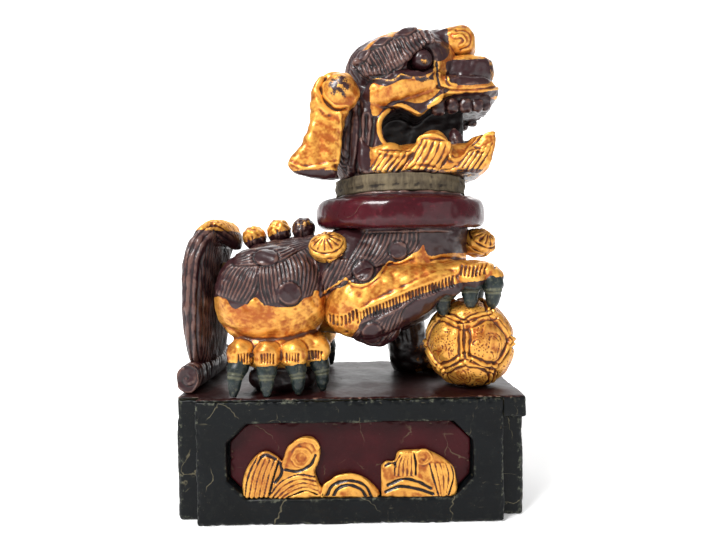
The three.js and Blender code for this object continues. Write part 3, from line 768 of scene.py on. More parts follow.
def draw_mane(s):
    """Folds of the mane behind the jaw."""
    for fold in ([(3.5, 287), (2, 270.5), (0, 250.5), (-1, 238)], [(9.5, 288.5), (10, 270), (8, 250.5),
            (6.5, 238)], [(14.5, 280), (14, 264.5), (12, 250.5), (10, 238)], [(20, 278.5), (18.5, 264.5),
            (16.5, 252), (15, 242)]):
        s.stroke(fold, 1.5, -2.4)


def flank():
    """The whole side of the lion: hair, fringes and gilding, drawn once."""
    s = Sheet((-132, 78), (132, 370))
    for draw in (draw_gilding, draw_haunch, draw_shoulder, draw_foreleg, draw_toes, draw_tuft, draw_brow,
            draw_muzzle, draw_mouth_rim, draw_mane):
        draw(s)
    s.soften(1)
    return s


def panel_sheet():
    """Feathers, curls and waves cut into the plinth's low reliefs."""
    s = Sheet((-86, 14), (86, 72))
    deep, lift = 2.6, 1.5
    s.lock([(-72, 18.5), (-69, 33.5), (-63, 46.5)], [(-55.5, 18.5), (-51.5, 33.5), (-48, 43.5)], 5, lift=lift,
        depth=deep)
    s.lock([(-56, 18), (-47.5, 28.5), (-35.5, 33.5), (-23.5, 32)], [(-44.5, 17.5), (-36, 21), (-29, 22.5),
        (-22, 19.5)], 4, lift=lift, depth=deep)
    s.stroke([(-45.5, 40), (-42, 50.5), (-33.5, 57), (-25, 56.5), (-21.5, 52)], 1.2, 1.2)
    s.stroke([(-39, 45), (-35.5, 50.5), (-30, 50), (-27.5, 46), (-30.5, 41.5), (-35.5, 41), (-38, 44.5)], 1.0, 1.5)
    s.stroke([(-44, 37), (-35.5, 36), (-27, 40), (-23.5, 46.5)], 0.9, -1.4)
    s.stroke([(-47.5, 43), (-46.5, 35), (-51, 28.5)], 0.9, -1.6)
    s.stroke([(-63.5, 42), (-57.5, 47.5), (-50.5, 44.5)], 1.2, -1.2)
    s.stroke([(-11.5, 19), (-8.5, 23.5), (-1, 26), (7, 23), (10, 18.5)], 0.9, -1.4)
    s.stroke([(-16, 19), (-12, 26), (-1.5, 29), (9.5, 26), (14, 18.5)], 0.9, -1.4)
    s.stroke([(-19.5, 19), (-15.5, 27.5), (-5, 32), (7, 31), (17, 18.5)], 0.9, 1.2)
    s.lock([(30, 32), (31, 40.5), (35, 47)], [(44.5, 32), (44.5, 40.5), (43.5, 47.5)], 5, lift=lift, depth=deep)
    s.lock([(54, 40), (56, 31.5), (60.5, 16.5)], [(68.5, 40), (70.5, 31.5), (66.5, 18)], 4, lift=lift, depth=deep)
    s.stroke([(46, 44), (48, 48), (52, 48), (54, 44), (50.5, 40.5), (47, 41.5)], 1.0, 1.5)
    s.stroke([(25.5, 25.5), (36, 29.5), (46, 27.5), (54.5, 23)], 0.9, -1.4)
    s.stroke([(24, 21), (34, 24.5), (46, 22.5), (56, 19)], 0.9, -1.4)
    s.stroke([(24, 39), (29, 41.5), (31.5, 38)], 0.9, -1.2)
    s.soften(1)
    return s


# ---- finishes


class Socket:
    """A shader socket that reads as a number in plain expressions."""

    def __init__(self, tree, socket):
        self.tree, self.socket = tree, socket

    def maths(self, operation, *values, clamp=False):
        made = self.tree.nodes.new("ShaderNodeMath")
        made.operation = operation
        made.use_clamp = clamp
        for slot, value in zip(made.inputs, values):
            if isinstance(value, Socket):
                self.tree.links.new(value.socket, slot)
            else:
                slot.default_value = value
        return Socket(self.tree, made.outputs[0])

    def __add__(self, other):
        return self.maths("ADD", self, other)

    __radd__ = __add__

    def __sub__(self, other):
        return self.maths("SUBTRACT", self, other)

    def __rsub__(self, other):
        return self.maths("SUBTRACT", other, self)

    def __mul__(self, other):
        return self.maths("MULTIPLY", self, other)

    __rmul__ = __mul__

    def held(self):
        """The value kept between 0 and 1."""
        return self.maths("ADD", self, 0.0, clamp=True)

    def over(self, low, high):
        """0 below low, 1 above high, and a smooth climb between."""
        made = self.tree.nodes.new("ShaderNodeMapRange")
        made.interpolation_type = "SMOOTHSTEP"
        self.tree.links.new(self.socket, made.inputs["Value"])
        made.inputs["From Min"].default_value = low
        made.inputs["From Max"].default_value = high
        return Socket(self.tree, made.outputs["Result"])


class Finish:
    """A material that is built from a few plain calls."""

    def __init__(self, name):
        self.material = bpy.data.materials.new(name)
        self.material.use_nodes = True
        self.tree = self.material.node_tree
        self.shader = self.tree.nodes["Principled BSDF"]
        self.place = self.node("ShaderNodeTexCoord")["Object"]

    def node(self, kind, settings=None, **inputs):
        """A node with its settings, then its inputs; gives its outputs by name."""
        made = self.tree.nodes.new(kind)
        for key, value in (settings or {}).items():
            setattr(made, key, value)
        for key, value in inputs.items():
            slot = made.inputs[int(key[1:]) if key[1:].isdigit() else key.replace("_", " ")]
            self.feed(slot, value)
        return {o.name: Socket(self.tree, o) for o in made.outputs if o.enabled}

    def feed(self, slot, value):
        """Links or sets a node's input."""
        if isinstance(value, Socket):
            self.tree.links.new(value.socket, slot)
        elif hasattr(value, "__len__") and len(value) == 3 and slot.type == "RGBA":
            slot.default_value = (*value, 1)
        else:
            slot.default_value = value

    def noise(self, size, detail=3.0, roughness=0.55, stretch=None, distortion=0.0):
        """Cloudy noise between 0 and 1 whose lumps are about size millimetres."""
        place = self.place
        if stretch:
            place = self.node("ShaderNodeVectorMath", {"operation": "MULTIPLY"}, _0=place, _1=stretch)["Vector"]
        made = self.node("ShaderNodeTexNoise", Vector=place, Scale=1 / (size * MM), Detail=detail,
            Roughness=roughness, Distortion=distortion)
        return made["Fac"]

    def cracks(self, size, width):
        """1 along fine wandering lines, 0 between them."""
        place = self.place
        warp = self.node("ShaderNodeTexNoise", Vector=place, Scale=1 / (size * 0.8 * MM), Detail=4.0)["Color"]
        moved = self.node("ShaderNodeVectorMath", {"operation": "SCALE"}, _0=warp, Scale=size * 0.9 * MM)["Vector"]
        moved = self.node("ShaderNodeVectorMath", {"operation": "ADD"}, _0=place, _1=moved)["Vector"]
        cells = self.node("ShaderNodeTexVoronoi", {"feature": "DISTANCE_TO_EDGE"}, Vector=moved,
            Scale=1 / (size * MM))
        return 1 - cells["Distance"].over(0.0, width / size)

    def field(self, name):
        """A field that the pieces carry on their points."""
        return self.node("ShaderNodeAttribute", {"attribute_name": name})["Fac"]

    def mix(self, factor, a, b):
        """Colour a at 0, b at 1."""
        made = self.tree.nodes.new("ShaderNodeMix")
        made.data_type = "RGBA"
        for key, value in (("Factor_Float", factor), ("A_Color", a), ("B_Color", b)):
            self.feed(next(i for i in made.inputs if i.identifier == key), value)
        return Socket(self.tree, next(o for o in made.outputs if o.identifier == "Result_Color"))

    def finish(self, colour, roughness, metallic=0.0, height=None, relief=0.3, strength=0.5, coat=0.0,
            coat_roughness=0.2, shine=0.3):
        """Feeds the shader; height is in shares of relief millimetres."""
        self.feed(self.shader.inputs["Base Color"], colour)
        self.feed(self.shader.inputs["Roughness"], roughness)
        self.feed(self.shader.inputs["Metallic"], metallic)
        self.feed(self.shader.inputs["Coat Weight"], coat)
        self.shader.inputs["Coat Roughness"].default_value = coat_roughness
        self.shader.inputs["Specular IOR Level"].default_value = shine
        if height is not None:
            bump = self.node("ShaderNodeBump", Height=height, Strength=strength, Distance=relief * MM)["Normal"]
            self.feed(self.shader.inputs["Normal"], bump)
        return self.material


def carved_finish():
    """Maroon lacquer and worn gold leaf, told apart by the gilt field."""
    c = bpy.context.scene.lion_finishes
    f = Finish("Carved lacquer and leaf")
    proud, hollow, gilt = f.field("proud"), f.field("hollow"), f.field("gilt")
    cloud, grain, speck = f.noise(14, 4), f.noise(3.2, 5, 0.65), f.noise(0.9, 3, 0.7)

    # leaf is left where the gilt field says, less where rubbed or pitted
    torn = (grain - 0.5) * 0.9 + (speck - 0.5) * 0.5 + (cloud - 0.5) * 0.7
    leaf = (gilt + torn * 0.75 - hollow * 0.25).over(0.42, 0.54)
    # random tone of the leaf, with a painted highlight on proud ridges and painted shade in the hollows
    tone_and_shade = (cloud * 0.9 + grain * 0.6 - 0.25 + proud * 0.3 - hollow * 0.5).held()
    gold = f.mix(tone_and_shade.over(0.3, 0.72), c.leaf_deep_and_shade, c.leaf)
    gold = f.mix(f.noise(38, 3).over(0.46, 0.68) * 0.45, gold, c.leaf_deep_and_shade)
    # brown specks of old varnish, more of them in the hollows, then the hollows browned: old varnish and painted
    # shade
    gold = f.mix((grain * 0.5 + speck * 0.5 + cloud * 0.35 + hollow * 0.3).over(0.78, 0.98) * 0.7, gold, c.leaf_brown_and_shade)
    gold = f.mix((hollow.over(0.35, 1.0) * 0.8).held(), gold, c.leaf_brown_and_shade)
    # ridges rubbed pale: wear, and a painted highlight along the hair's ridges
    rubbed = (proud.over(0.4, 1.0) * (0.2 + grain)).held()
    hair = f.mix(cloud.over(0.3, 0.7) * 0.5, c.maroon, [v * 0.62 for v in c.maroon])
    hair = f.mix((rubbed * 0.62).held(), hair, c.maroon_worn_and_highlight)
    base = f.mix(leaf, hair, gold)
    # hollows darkened: dirt, and painted shade where light does not reach
    dirt_and_shade = (hollow.over(0.3, 1.0) * (1 - leaf * 0.7)).held()
    base = f.mix((dirt_and_shade * 0.9).held(), base, c.cavity_dirt_and_shade)
    # painted shade from the shade field, in the same dark colour
    base = f.mix(f.field("shade").held(), base, c.cavity_dirt_and_shade)
    rough = (0.28 + grain * 0.22 + hollow * 0.2 + leaf * 0.06).held()
    metal = (leaf * (0.62 - hollow * 0.4) * (1 - f.field("shade"))).held()
    height = grain * 0.5 + speck * 0.35 + leaf * 0.25
    return f.finish(base, rough, metal, height, relief=0.35, strength=0.55, coat=0.3, coat_roughness=0.2, shine=0.35)


def lacquer_finish(name, colour, worn, dust_amount, gloss, crack_size=38.0):
    """Old lacquer with rubbed edges, scratches, fine cracks and settled dust."""
    c = bpy.context.scene.lion_finishes
    f = Finish(name)
    proud, hollow = f.field("proud"), f.field("hollow")
    cloud, grain, speck = f.noise(22, 4), f.noise(4, 5, 0.65), f.noise(1.1, 3, 0.7)
    base = f.mix(cloud.over(0.3, 0.72), [v * 0.6 for v in colour], colour)
    edge = ((proud.over(0.3, 0.9) + 0.04) * grain.over(0.5, 0.68)).held()
    base = f.mix(edge * 0.75, base, worn)
    cracks = f.cracks(crack_size, 0.5) * cloud.over(0.50, 0.62)
    fleck = speck.over(0.66, 0.74) * grain.over(0.45, 0.6)
    scratch = f.noise(2.0, 2, 0.5, stretch=(0.12, 1.0, 0.7)).over(0.70, 0.76) * cloud.over(0.42, 0.6)
    dust = (cracks * 0.7 + fleck * 0.7 + scratch * 0.4 + hollow.over(0.35, 1.0) * grain * 0.9).held()
    base = f.mix((dust * dust_amount).held(), base, c.dust)
    rough = (gloss + grain * 0.2 + dust * 0.4).held()
    height = grain * 0.6 + speck * 0.2 - cracks * 0.8
    return f.finish(base, rough, 0.0, height, relief=0.4, strength=0.5, coat=0.35 if gloss < 0.3 else 0.04,
        coat_roughness=0.12, shine=0.15)


def bare_finish():
    """Grey, handled end grain of the neck, stained brown and gold in places."""
    c = bpy.context.scene.lion_finishes
    f = Finish("Bare rubbed wood")
    cloud, grain, speck = f.noise(16, 4), f.noise(3, 5, 0.7), f.noise(1, 3, 0.7)
    fibre = f.noise(2.2, 4, 0.6, stretch=(1.0, 1.0, 0.12))
    base = f.mix((cloud * 0.6 + fibre * 0.5).over(0.35, 0.75), c.bare_dark, c.bare)
    base = f.mix(grain.over(0.62, 0.72) * 0.6, base, c.leaf_brown_and_shade)
    base = f.mix(speck.over(0.68, 0.76) * 0.5, base, c.dust)
    # hollows darkened: dirt and painted shade
    base = f.mix(f.field("hollow").over(0.3, 1.0) * 0.8, base, c.cavity_dirt_and_shade)
    return f.finish(base, (0.62 + grain * 0.25).held(), 0.0, fibre * 0.6 + grain * 0.5, relief=0.5, strength=0.6)


def claw_finish():
    """Black-green lacquer with pale cut rings."""
    c = bpy.context.scene.lion_finishes
    f = Finish("Claw lacquer")
    grain, cloud = f.noise(2.5, 5, 0.65), f.noise(9, 3)
    base = f.mix(cloud.over(0.3, 0.7), c.claw, [v * 2.0 for v in c.claw])
    pale = (f.field("ring") * (0.5 + grain)).held()
    pale = (pale + f.field("proud").over(0.5, 1.0) * grain.over(0.5, 0.65) * 0.4).held()
    base = f.mix(pale, base, c.claw_pale)
    return f.finish(base, (0.3 + grain * 0.3).held(), 0.0, grain, relief=0.3, strength=0.5, coat=0.2)


def dowel_finish():
    """Plain turned wood with its grain along the pin."""
    c = bpy.context.scene.lion_finishes
    f = Finish("Dowel wood")
    fibre = f.noise(1.6, 4, 0.6, stretch=(1.0, 1.0, 0.08))
    base = f.mix(fibre.over(0.35, 0.7), [v * 0.5 for v in c.dowel], c.dowel)
    return f.finish(base, (0.6 + fibre * 0.2).held(), 0.0, fibre, relief=0.2, strength=0.4)


FINISHES = {}


def finish_of(name):
    """Each finish is made once, when a piece first asks for it."""
    c = bpy.context.scene.lion_finishes
    makers = {
        "carved": carved_finish,
        "black": lambda: lacquer_finish("Black lacquer", c.black, c.black_worn, 0.7, 0.36),
        "deck": lambda: lacquer_finish("Deck lacquer", c.deck, c.maroon_worn_and_highlight, 0.35, 0.34, 60.0),
        "ground": lambda: lacquer_finish("Panel red", c.ground, c.maroon, 0.4, 0.36, 30.0),
        "collar": lambda: lacquer_finish("Collar lacquer", c.collar, [v * 1.7 for v in c.collar], 0.3, 0.2, 70.0),
        "bare": bare_finish,
        "claw": claw_finish,
        "dowel": dowel_finish,
    }
    if name not in FINISHES:
        FINISHES[name] = makers[name]()
    return FINISHES[name]


# ---- pieces


SHEETS = {}


def sheet_of(name):
    """Each sheet is drawn once, when a piece first asks for it."""
    if name not in SHEETS:
        SHEETS[name] = {"flank": flank, "panel": panel_sheet}[name]()
    return SHEETS[name]


def cell(kind):
    size = getattr(bpy.context.scene.lion_sizes, f"{kind}_cell") / MM
    return size * 1.0


def carve(skin, sheet, gain=1.0, gild=True):
    """Presses the flank's drawing into a skin."""
    n = skin.normals()
    x, z = on_sheet(skin.p)
    side = smooth(np.abs(n[:, 1]) + 0.5 * np.maximum(n[:, 2], 0) - 0.4 * np.maximum(-n[:, 2], 0), 0.1, 0.4)
    height = sheet.read("height", x, z) * side * gain
    if gild:
        skin.fields["gilt"] = sheet.read("gilt", x, z)
    skin.push(height, n)


def worked(skin, size=9.0, seed=1, share=1.0):
    """The unevenness that a hand chisel leaves."""
    amount = bpy.context.scene.lion_sizes.wobble / MM * share
    skin.push(amount * (ripple(skin.p, size, seed) + 0.12 * ripple(skin.p, size / 3, seed + 1)))


def done(skin, name, nodes, slot, finish="carved", gilt=None, shade=None, body="trunk"):
    """Finishes a skin and puts it on its body in place of its CAD nodes."""
    if gilt is not None:
        skin.fields["gilt"] = np.broadcast_to(np.asarray(gilt, float), len(skin.p)).copy()
    if finish == "carved":
        skin.fields["shade"] = np.zeros(len(skin.p)) if shade is None else shade
        skin.fields.setdefault("gilt", np.zeros(len(skin.p)))
    return skin.piece(name, body, nodes, slot, finish_of(finish))


# knuckles and claw tips: X, Y and height above the slab, or from the lifted paw's middle
HIND_TOES = ((-75, -57, 27), (-56, -61, 26), (-38, -57, 26), (-23, -47, 27))
HIND_TIPS = ((-79, -66, 1), (-56, -66, 1), (-35, -61, 1), (-19, -50, 1))
STANDING_TOES = ((66, 10, 12), (77, 20, 12), (77, 33, 12), (67, 43, 12))
STANDING_TIPS = ((74, 4, 1), (87, 17, 1), (87, 36, 1), (75, 48, 1))
LIFTED_TOES = ((-17, -16, -7), (-2, -19, -2), (13, -12, -1), (9, 9, -2))
GRIPS = ((-0.62, -0.42), (-0.06, -0.55), (0.42, -0.42), (0.28, 0.4))


def torso_clay():
    """The barrel, its shoulders and the stump, with the hole for the dowel."""
    half, spine, top = TORSO_HALF, SPINE, COLLAR_BASE
    clay = Clay((-104, -56, DECK + 22), (112, 56, NECK_BASE), cell("body"))
    trunk = [[-98, 0, spine + 5, half - 14, 29], [-58, 0, spine + 1, half - 2, 35],
        [-8, 0, spine, half - 2, 40], [36, 0, spine + 2, half, 42], [92, 0, spine + 16, half - 8, 30]]
    clay.limb(trunk)
    radius = (COLLAR_HIGH[0] - COLLAR_LOW[0]) / 2 - 13
    profile = [(radius - 17, -46), (radius - 3, -30), (radius, -8), (radius, 0)]
    clay.turn(profile, (NECK_X, 0, top), oval=COLLAR_OVAL, blend=5)
    for side in (-1, 1):
        clay.egg((2, side * (half - 15), top - 32), (34, 22, 31), blend=6)
        clay.egg((19, side * 41, SPINE - 30), (19, 10, 15), blend=3)
    clay.work((-200, -90, top - 6), (200, 90, top + 60), lambda x, y, z: top + COLLAR_TILT * y - z + 0 * x, take=True)
    clay.turn([(STUMP_RADIUS, -5), (STUMP_RADIUS, NECK_BASE - GAP - top)], (NECK_X, 0, top))
    bore, depth = 9.5, 50.5
    clay.work((NECK_X - 10, -10, NECK_BASE - 51), (NECK_X + 10, 10, NECK_BASE + 5),
        lambda x, y, z: np.maximum(np.hypot(x - NECK_X, y) - bore, np.abs(z - NECK_BASE) - depth), take=True)
    return clay


class LION_OT_torso(bpy.types.Operator):
    """Carves the torso with its shoulder hair and the stump inside the collar"""

    bl_idname = "lion.torso"
    bl_label = "Torso"

    def execute(self, context):
        skin = torso_clay().skin(3)
        carve(skin, sheet_of("flank"))
        back = smooth(skin.z, SPINE + 28, SPINE + 36) * (skin.x < -15)
        hair = gouged(skin.y * math.pi / 2.9 + 0.03 * skin.x, 0.7)
        skin.push(0.7 * hair * back)
        worked(skin, seed=3)
        skin.fields["gilt"] *= 0.9
        under = smooth(-skin.z, -(DECK + 50), -(DECK + 30)) * (np.abs(skin.y) < 34)
        done(skin, "torso_carving", ["torso"], "maroon_lacquer", shade=0.55 * under)
        return {"FINISHED"}


def hind_leg_clay():
    """A right haunch with its foot."""
    low, high = DECK + 31, SPINE + 28
    clay = Clay((-104, -70, DECK), (-6, 4, SPINE + 34), cell("body"))
    clay.egg((-56, 12 - FOOT_Y, (low + high) / 2), (41, 29, (high - low) / 2), power=2.3)
    clay.egg((-50, 9 - FOOT_Y, DECK + 30), (36, 21, 15), blend=4, power=2.3)
    clay.egg((-49, 12 - FOOT_Y, DECK + 8), (25, 15, 14), blend=3)
    for x, y, z in HIND_TOES:
        clay.egg((x, y, DECK + z + 3), (9.8, 9, 9.5), blend=1.0)
        clay.egg((x, y - 2.0, DECK + z - 2), (8.6, 7.4, 5), blend=1.5)
    clay.trim((-200, -100, DECK - 30), (100, 20, DECK + 0.4))
    clay.trim((-200, -0.2, DECK - 30), (100, 20, 300))
    return clay


class LION_OT_hind_legs(bpy.types.Operator):
    """Carves the haunches with their curled hair and gilded toes"""

    bl_idname = "lion.hind_legs"
    bl_label = "Hind legs"

    def execute(self, context):
        for side in ("right", "left"):
            skin = hind_leg_clay().skin(2)
            carve(skin, sheet_of("flank"))
            worked(skin, seed=5)
            low = smooth(-skin.z, -(DECK + 20), -(DECK + 14))
            inner = smooth(skin.y, -30, -14)
            skin.fields["gilt"] *= 1 - low
            if side == "left":
                skin.mirror()
            done(skin, f"{side}_hind_leg_carving", [f"{side}_hind_leg"], "gilding", shade=0.7 * np.maximum(low,
                inner * 0.8))
        return {"FINISHED"}


def lifted_foreleg():
    """The right foreleg, whose paw lies on the ball."""
    clay = Clay((-42, -74, DECK + 28), (116, -8, PAW_Z + 18), cell("body"))
    clay.limb([[-17, 8 - TORSO_HALF, SPINE - 25, 20, 18], [10, 4 - FOOT_Y, SPINE - 15, 20, 25],
        [44, 2 - FOOT_Y, (SPINE - 15 + 2 * PAW_Z) / 3 - 4, 18, 20], [BALL[0] - 8, BALL[1] - 10, PAW_Z + 4, 16,
        10]], power=2.5)
    for x, y, z in LIFTED_TOES:
        clay.egg((BALL[0] + x, BALL[1] + y, PAW_Z + z), (9.6, 9.2, 8.6), blend=2.5)
    clay.egg((BALL[0] - 2, BALL[1] - 6, PAW_Z + 4), (22, 19, 7), blend=3)
    skin = clay.skin(2)
    carve(skin, sheet_of("flank"))
    worked(skin, seed=7)
    inner = smooth(skin.y, -34, -24)
    done(skin, "right_foreleg_carving", ["right_foreleg", "right_fore_paw"], "gilding",
        shade=0.6 * inner * (skin.z < PAW_Z - 8))


def standing_foreleg():
    """The left foreleg, which stands on the slab."""
    y = 24
    clay = Clay((20, -4, DECK), (94, 62, SPINE + 24), cell("body"))
    clay.limb([[44, y, SPINE, 20, 17], [46, y, DECK + 40, 19, 16], [50, y + 2, DECK - 8, 20, 18]], power=2.2)
    clay.egg((60, y + 2, DECK + 10), (20, 20, 11), blend=4)
    for tx, ty, tz in STANDING_TOES:
        clay.egg((tx, ty, DECK + tz), (9.4, 7.6, 8.6), blend=1.5)
    clay.trim((-200, -100, DECK - 40), (200, 100, DECK + 0.4))
    skin = clay.skin(2)
    p = skin.p
    shank = smooth(p[:, 2], DECK + 24, DECK + 30)
    angle = np.arctan2(p[:, 1] - y, p[:, 0] - 46)
    hair = gouged(angle * 11 + 0.12 * p[:, 2], 0.7)
    skin.push(0.9 * hair * shank * smooth(-p[:, 0], -62, -40))
    worked(skin, seed=9)
    front = smooth(skin.x, 40, 58)
    gilt = 0.5 * front * (1 - shank)
    done(skin, "left_foreleg_carving", ["left_foreleg"], "gilding", gilt=gilt, shade=0.9 - 0.45 * front)


class LION_OT_forelegs(bpy.types.Operator):
    """Carves the lifted foreleg with its fringe, its paw, and the standing foreleg"""

    bl_idname = "lion.forelegs"
    bl_label = "Forelegs"

    def execute(self, context):
        lifted_foreleg()
        standing_foreleg()
        return {"FINISHED"}


def claw_shape(root, tip, grip):
    """One long claw: thick knuckle, two cut rings, a slim point that bends down."""
    root, tip = np.array(root, float), np.array(tip, float)
    out = (tip - root) * [1, 1, 0]
    out = out / max(np.linalg.norm(out), 1e-3)
    bend = (root + tip) / 2 + out * (3.0 if grip else 1.5) + [0, 0, 2.0]
    line = curve([root, bend, tip], 40)
    t = np.linspace(0, 1, 40)
    radii = np.interp(t, [0, 0.2, 0.42, 0.55, 0.66, 0.85, 1], [7.0, 7.4, 6.6, 5.3, 5.0, 3.9, 2.0])
    ring = bump(t, 0.58, 0.025) + 0.8 * bump(t, 0.50, 0.02)
    radii = radii * (1.15 if grip else 1.0) + 0.5 * bump(t, 0.54, 0.05) - 0.5 * ring
    points, quads = swept(line, radii, 22)
    return points, quads, np.repeat(np.clip(ring, 0, 1), 22)


class LION_OT_claws(bpy.types.Operator):
    """Shapes the four feet's claws"""

    bl_idname = "lion.claws"
    bl_label = "Claws"

    def execute(self, context):
        for foot in ("right_hind", "left_hind", "left_fore", "right_fore"):
            nodes = [f"{foot}_claw_{i}" for i in range(1, 5)]
            parts, rings = [], []
            for i in range(4):
                root, tip = claw_ends(foot, i)
                points, quads, ring = claw_shape(root, tip, foot == "right_fore")
                parts.append((points, quads))
                rings.append(ring)
            skin = gathered(parts)
            skin.fields["ring"] = np.concatenate(rings)
            if foot != "right_fore":
                skin.p[:, 2] = np.maximum(skin.z, DECK + 0.35)
            worked(skin, size=5, seed=11, share=0.6)
            done(skin, f"{foot}_claw_carvings", nodes, "claw_lacquer", "claw")
        return {"FINISHED"}


def claw_ends(foot, i):
    """Root and tip of a claw."""
    if foot == "right_fore":
        root = np.array(LIFTED_TOES[i]) + [BALL[0], BALL[1], PAW_Z]
        a, b = GRIPS[i]
        return root, BALL + np.array([a, b, math.sqrt(1 - a * a - b * b)]) * (BALL_RADIUS - 0.5)
    roots, tips = (HIND_TOES, HIND_TIPS) if "hind" in foot else (STANDING_TOES, STANDING_TIPS)
    root, tip = np.array(roots[i], float) + [0, 0, DECK], np.array(tips[i], float) + [0, 0, DECK]
    if foot == "left_hind":
        root[1], tip[1] = -root[1], -tip[1]
    return root - [0, 0, 2 if "hind" in foot else 0], tip


class LION_OT_ball(bpy.types.Operator):
    """Carves the brocade ball with its doubled ribbons"""

    bl_idname = "lion.ball"
    bl_label = "Ball"

    def execute(self, context):
        clay = Clay(BALL - 34, BALL + 34, cell("body"))
        clay.egg(BALL, (BALL_RADIUS - 0.8,) * 3)
        clay.trim((-200, -200, DECK - 60), (200, 200, DECK + 0.4))
        skin = clay.skin(1)
        n = skin.p - BALL
        n /= np.linalg.norm(n, axis=1)[:, None]
        turn = np.array(Matrix.Rotation(0.42, 3, "Y") @ Matrix.Rotation(0.30, 3, "X") @ Matrix.Rotation(0.2, 3, "Z"))
        ends = ball_corners() @ turn.T
        gap = np.full(len(n), 9.0)
        for a in range(20):
            for b in range(a + 1, 20):
                if np.linalg.norm(ends[a] - ends[b]) < 0.75:
                    gap = np.minimum(gap, arc_gap(n, ends[a], ends[b]) * BALL_RADIUS)
        petal = np.minimum.reduce([np.linalg.norm(n - e, axis=1) for e in ends]) * BALL_RADIUS
        band = gap + 0.5 * ripple(skin.p, 9, 21)
        height = 1.5 * bump(band, 1.7, 0.95) - 0.9 * bump(band, 0, 0.6)
        height += -1.1 * bump(band, 3.9, 0.8) + 0.5 * smooth(band, 4.5, 9.0)
        height -= 1.2 * bump(petal, 4.2, 0.8)
        height += 1.0 * bump(petal, 0, 2.6)
        chase = np.abs(np.sin(ripple(skin.p, 16, 31) * 6.0))
        height -= 0.8 * (1 - smooth(chase, 0.0, 0.22)) * smooth(band, 5.0, 6.0)
        foot = smooth(skin.z, DECK + 1, DECK + 6)
        skin.push(height * foot, n)
        worked(skin, size=7, seed=13, share=0.8)
        low = 1 - smooth(skin.z, DECK + 2, DECK + 9)
        done(skin, "ball_carving", ["ball"], "gilding", gilt=1.0 - 0.55 * low)
        return {"FINISHED"}


def ball_corners():
    """The 20 corners of a dodecahedron, on a unit sphere."""
    g = (1 + math.sqrt(5)) / 2
    corners = [(x, y, z) for x in (-1, 1) for y in (-1, 1) for z in (-1, 1)]
    for a in (-1 / g, 1 / g):
        for b in (-g, g):
            corners += [(0, a, b), (a, b, 0), (b, 0, a)]
    return np.array(corners, float) / math.sqrt(3)


def arc_gap(n, a, b):
    """Angle from directions n to the arc between a and b."""
    pole = np.cross(a, b)
    pole /= np.linalg.norm(pole)
    beside = np.abs(np.arcsin(np.clip(n @ pole, -1, 1)))
    inside = (np.cross(a, n) @ pole > 0) & (np.cross(n, b) @ pole > 0)
    ends = np.arccos(np.clip(np.maximum(n @ a, n @ b), -1, 1))
    return np.where(inside, beside, ends)


def tail_plume():
    """The upright plume with its combed hair and gilded crest."""
    x = TAIL_X
    line = [[x + 27, 0, SPINE + 28, 16, 9], [x + 13, 0, SPINE + 42, 34, 10], [x + 2, 0, SPINE + 23, 45, 11],
        [x, 0, DECK + 60, 47, 11], [x, 0, DECK + 24, 42, 9], [x, 0, DECK + 12, 36, 8]]
    clay = Clay((x - 14, -56, DECK + 2), (x + 44, 56, SPINE + 56), cell("body"))
    clay.limb(line, power=3.0)
    skin = clay.skin(2)
    p, n = skin.p, skin.normals()
    track = curve(line, 60)
    _, along = near(p[:, 0], p[:, 2], track[:, [0, 2]])
    mid = np.stack([np.interp(along, np.linspace(0, 1, 60), track[:, k]) for k in (0, 2)], 1)
    ahead = np.gradient(track[:, [0, 2]], axis=0)
    ahead /= np.linalg.norm(ahead, axis=1)[:, None]
    way = np.stack([np.interp(along, np.linspace(0, 1, 60), ahead[:, k]) for k in (0, 1)], 1)
    across = (p[:, 0] - mid[:, 0]) * way[:, 1] - (p[:, 2] - mid[:, 1]) * way[:, 0]
    flat = smooth(np.abs(n[:, 1]), 0.35, 0.55)
    sway = 2.2 * np.sin(along * 5.0)
    on_side = gouged((across + sway) * math.pi / 4.8)
    on_face = gouged((p[:, 1] + sway) * math.pi / 4.0, 0.7)
    skin.push(1.6 * (on_side * flat + on_face * (1 - flat)) * smooth(along, 0.04, 0.12) * smooth(-along, -0.99,
        -0.9), n)
    worked(skin, seed=15)
    crest = smooth(skin.z, SPINE + 39, SPINE + 44) * smooth(along, 0.0, 0.1)
    rim = smooth(skin.x, x + 8, x + 14) * smooth(np.abs(skin.y), 24, 34) * (skin.z < SPINE + 20)
    done(skin, "tail_carving", ["tail"], "maroon_lacquer", gilt=np.maximum(crest, 0.55 * rim))


def tail_scroll():
    """The coiled scroll that lies under the plume."""
    x = TAIL_X
    c = np.array([x - 1, 0, DECK + 10.8])
    clay = Clay((x - 11, -50, DECK), (x + 11, 50, DECK + 21), cell("body"))
    clay.egg(c, (8.0, 200, 10.4), power=2.2)
    for side in (-1, 1):
        clay.trim(c + [-12, side * 46 - 3 * (side < 0), -12], c + [12, side * 46 + 3 * (side > 0), 12])
    skin = clay.skin(2)
    p = skin.p
    angle, reach = np.arctan2(p[:, 2] - c[2], p[:, 0] - c[0]), np.hypot(p[:, 0] - c[0], p[:, 2] - c[2])
    coil = gouged(reach * math.pi / 7.0 - angle / 2)
    end = smooth(np.abs(p[:, 1]), 44.0, 45.2)
    skin.push(0.9 * coil * end + 0.6 * gouged(p[:, 1] * math.pi / 6, 0.7) * (1 - end))
    worked(skin, seed=17)
    done(skin, "tail_scroll_carving", ["tail_scroll"], "maroon_lacquer", gilt=0.0)


class LION_OT_tail(bpy.types.Operator):
    """Carves the upright plume of the tail and the scroll under it"""

    bl_idname = "lion.tail"
    bl_label = "Tail"

    def execute(self, context):
        tail_plume()
        tail_scroll()
        return {"FINISHED"}


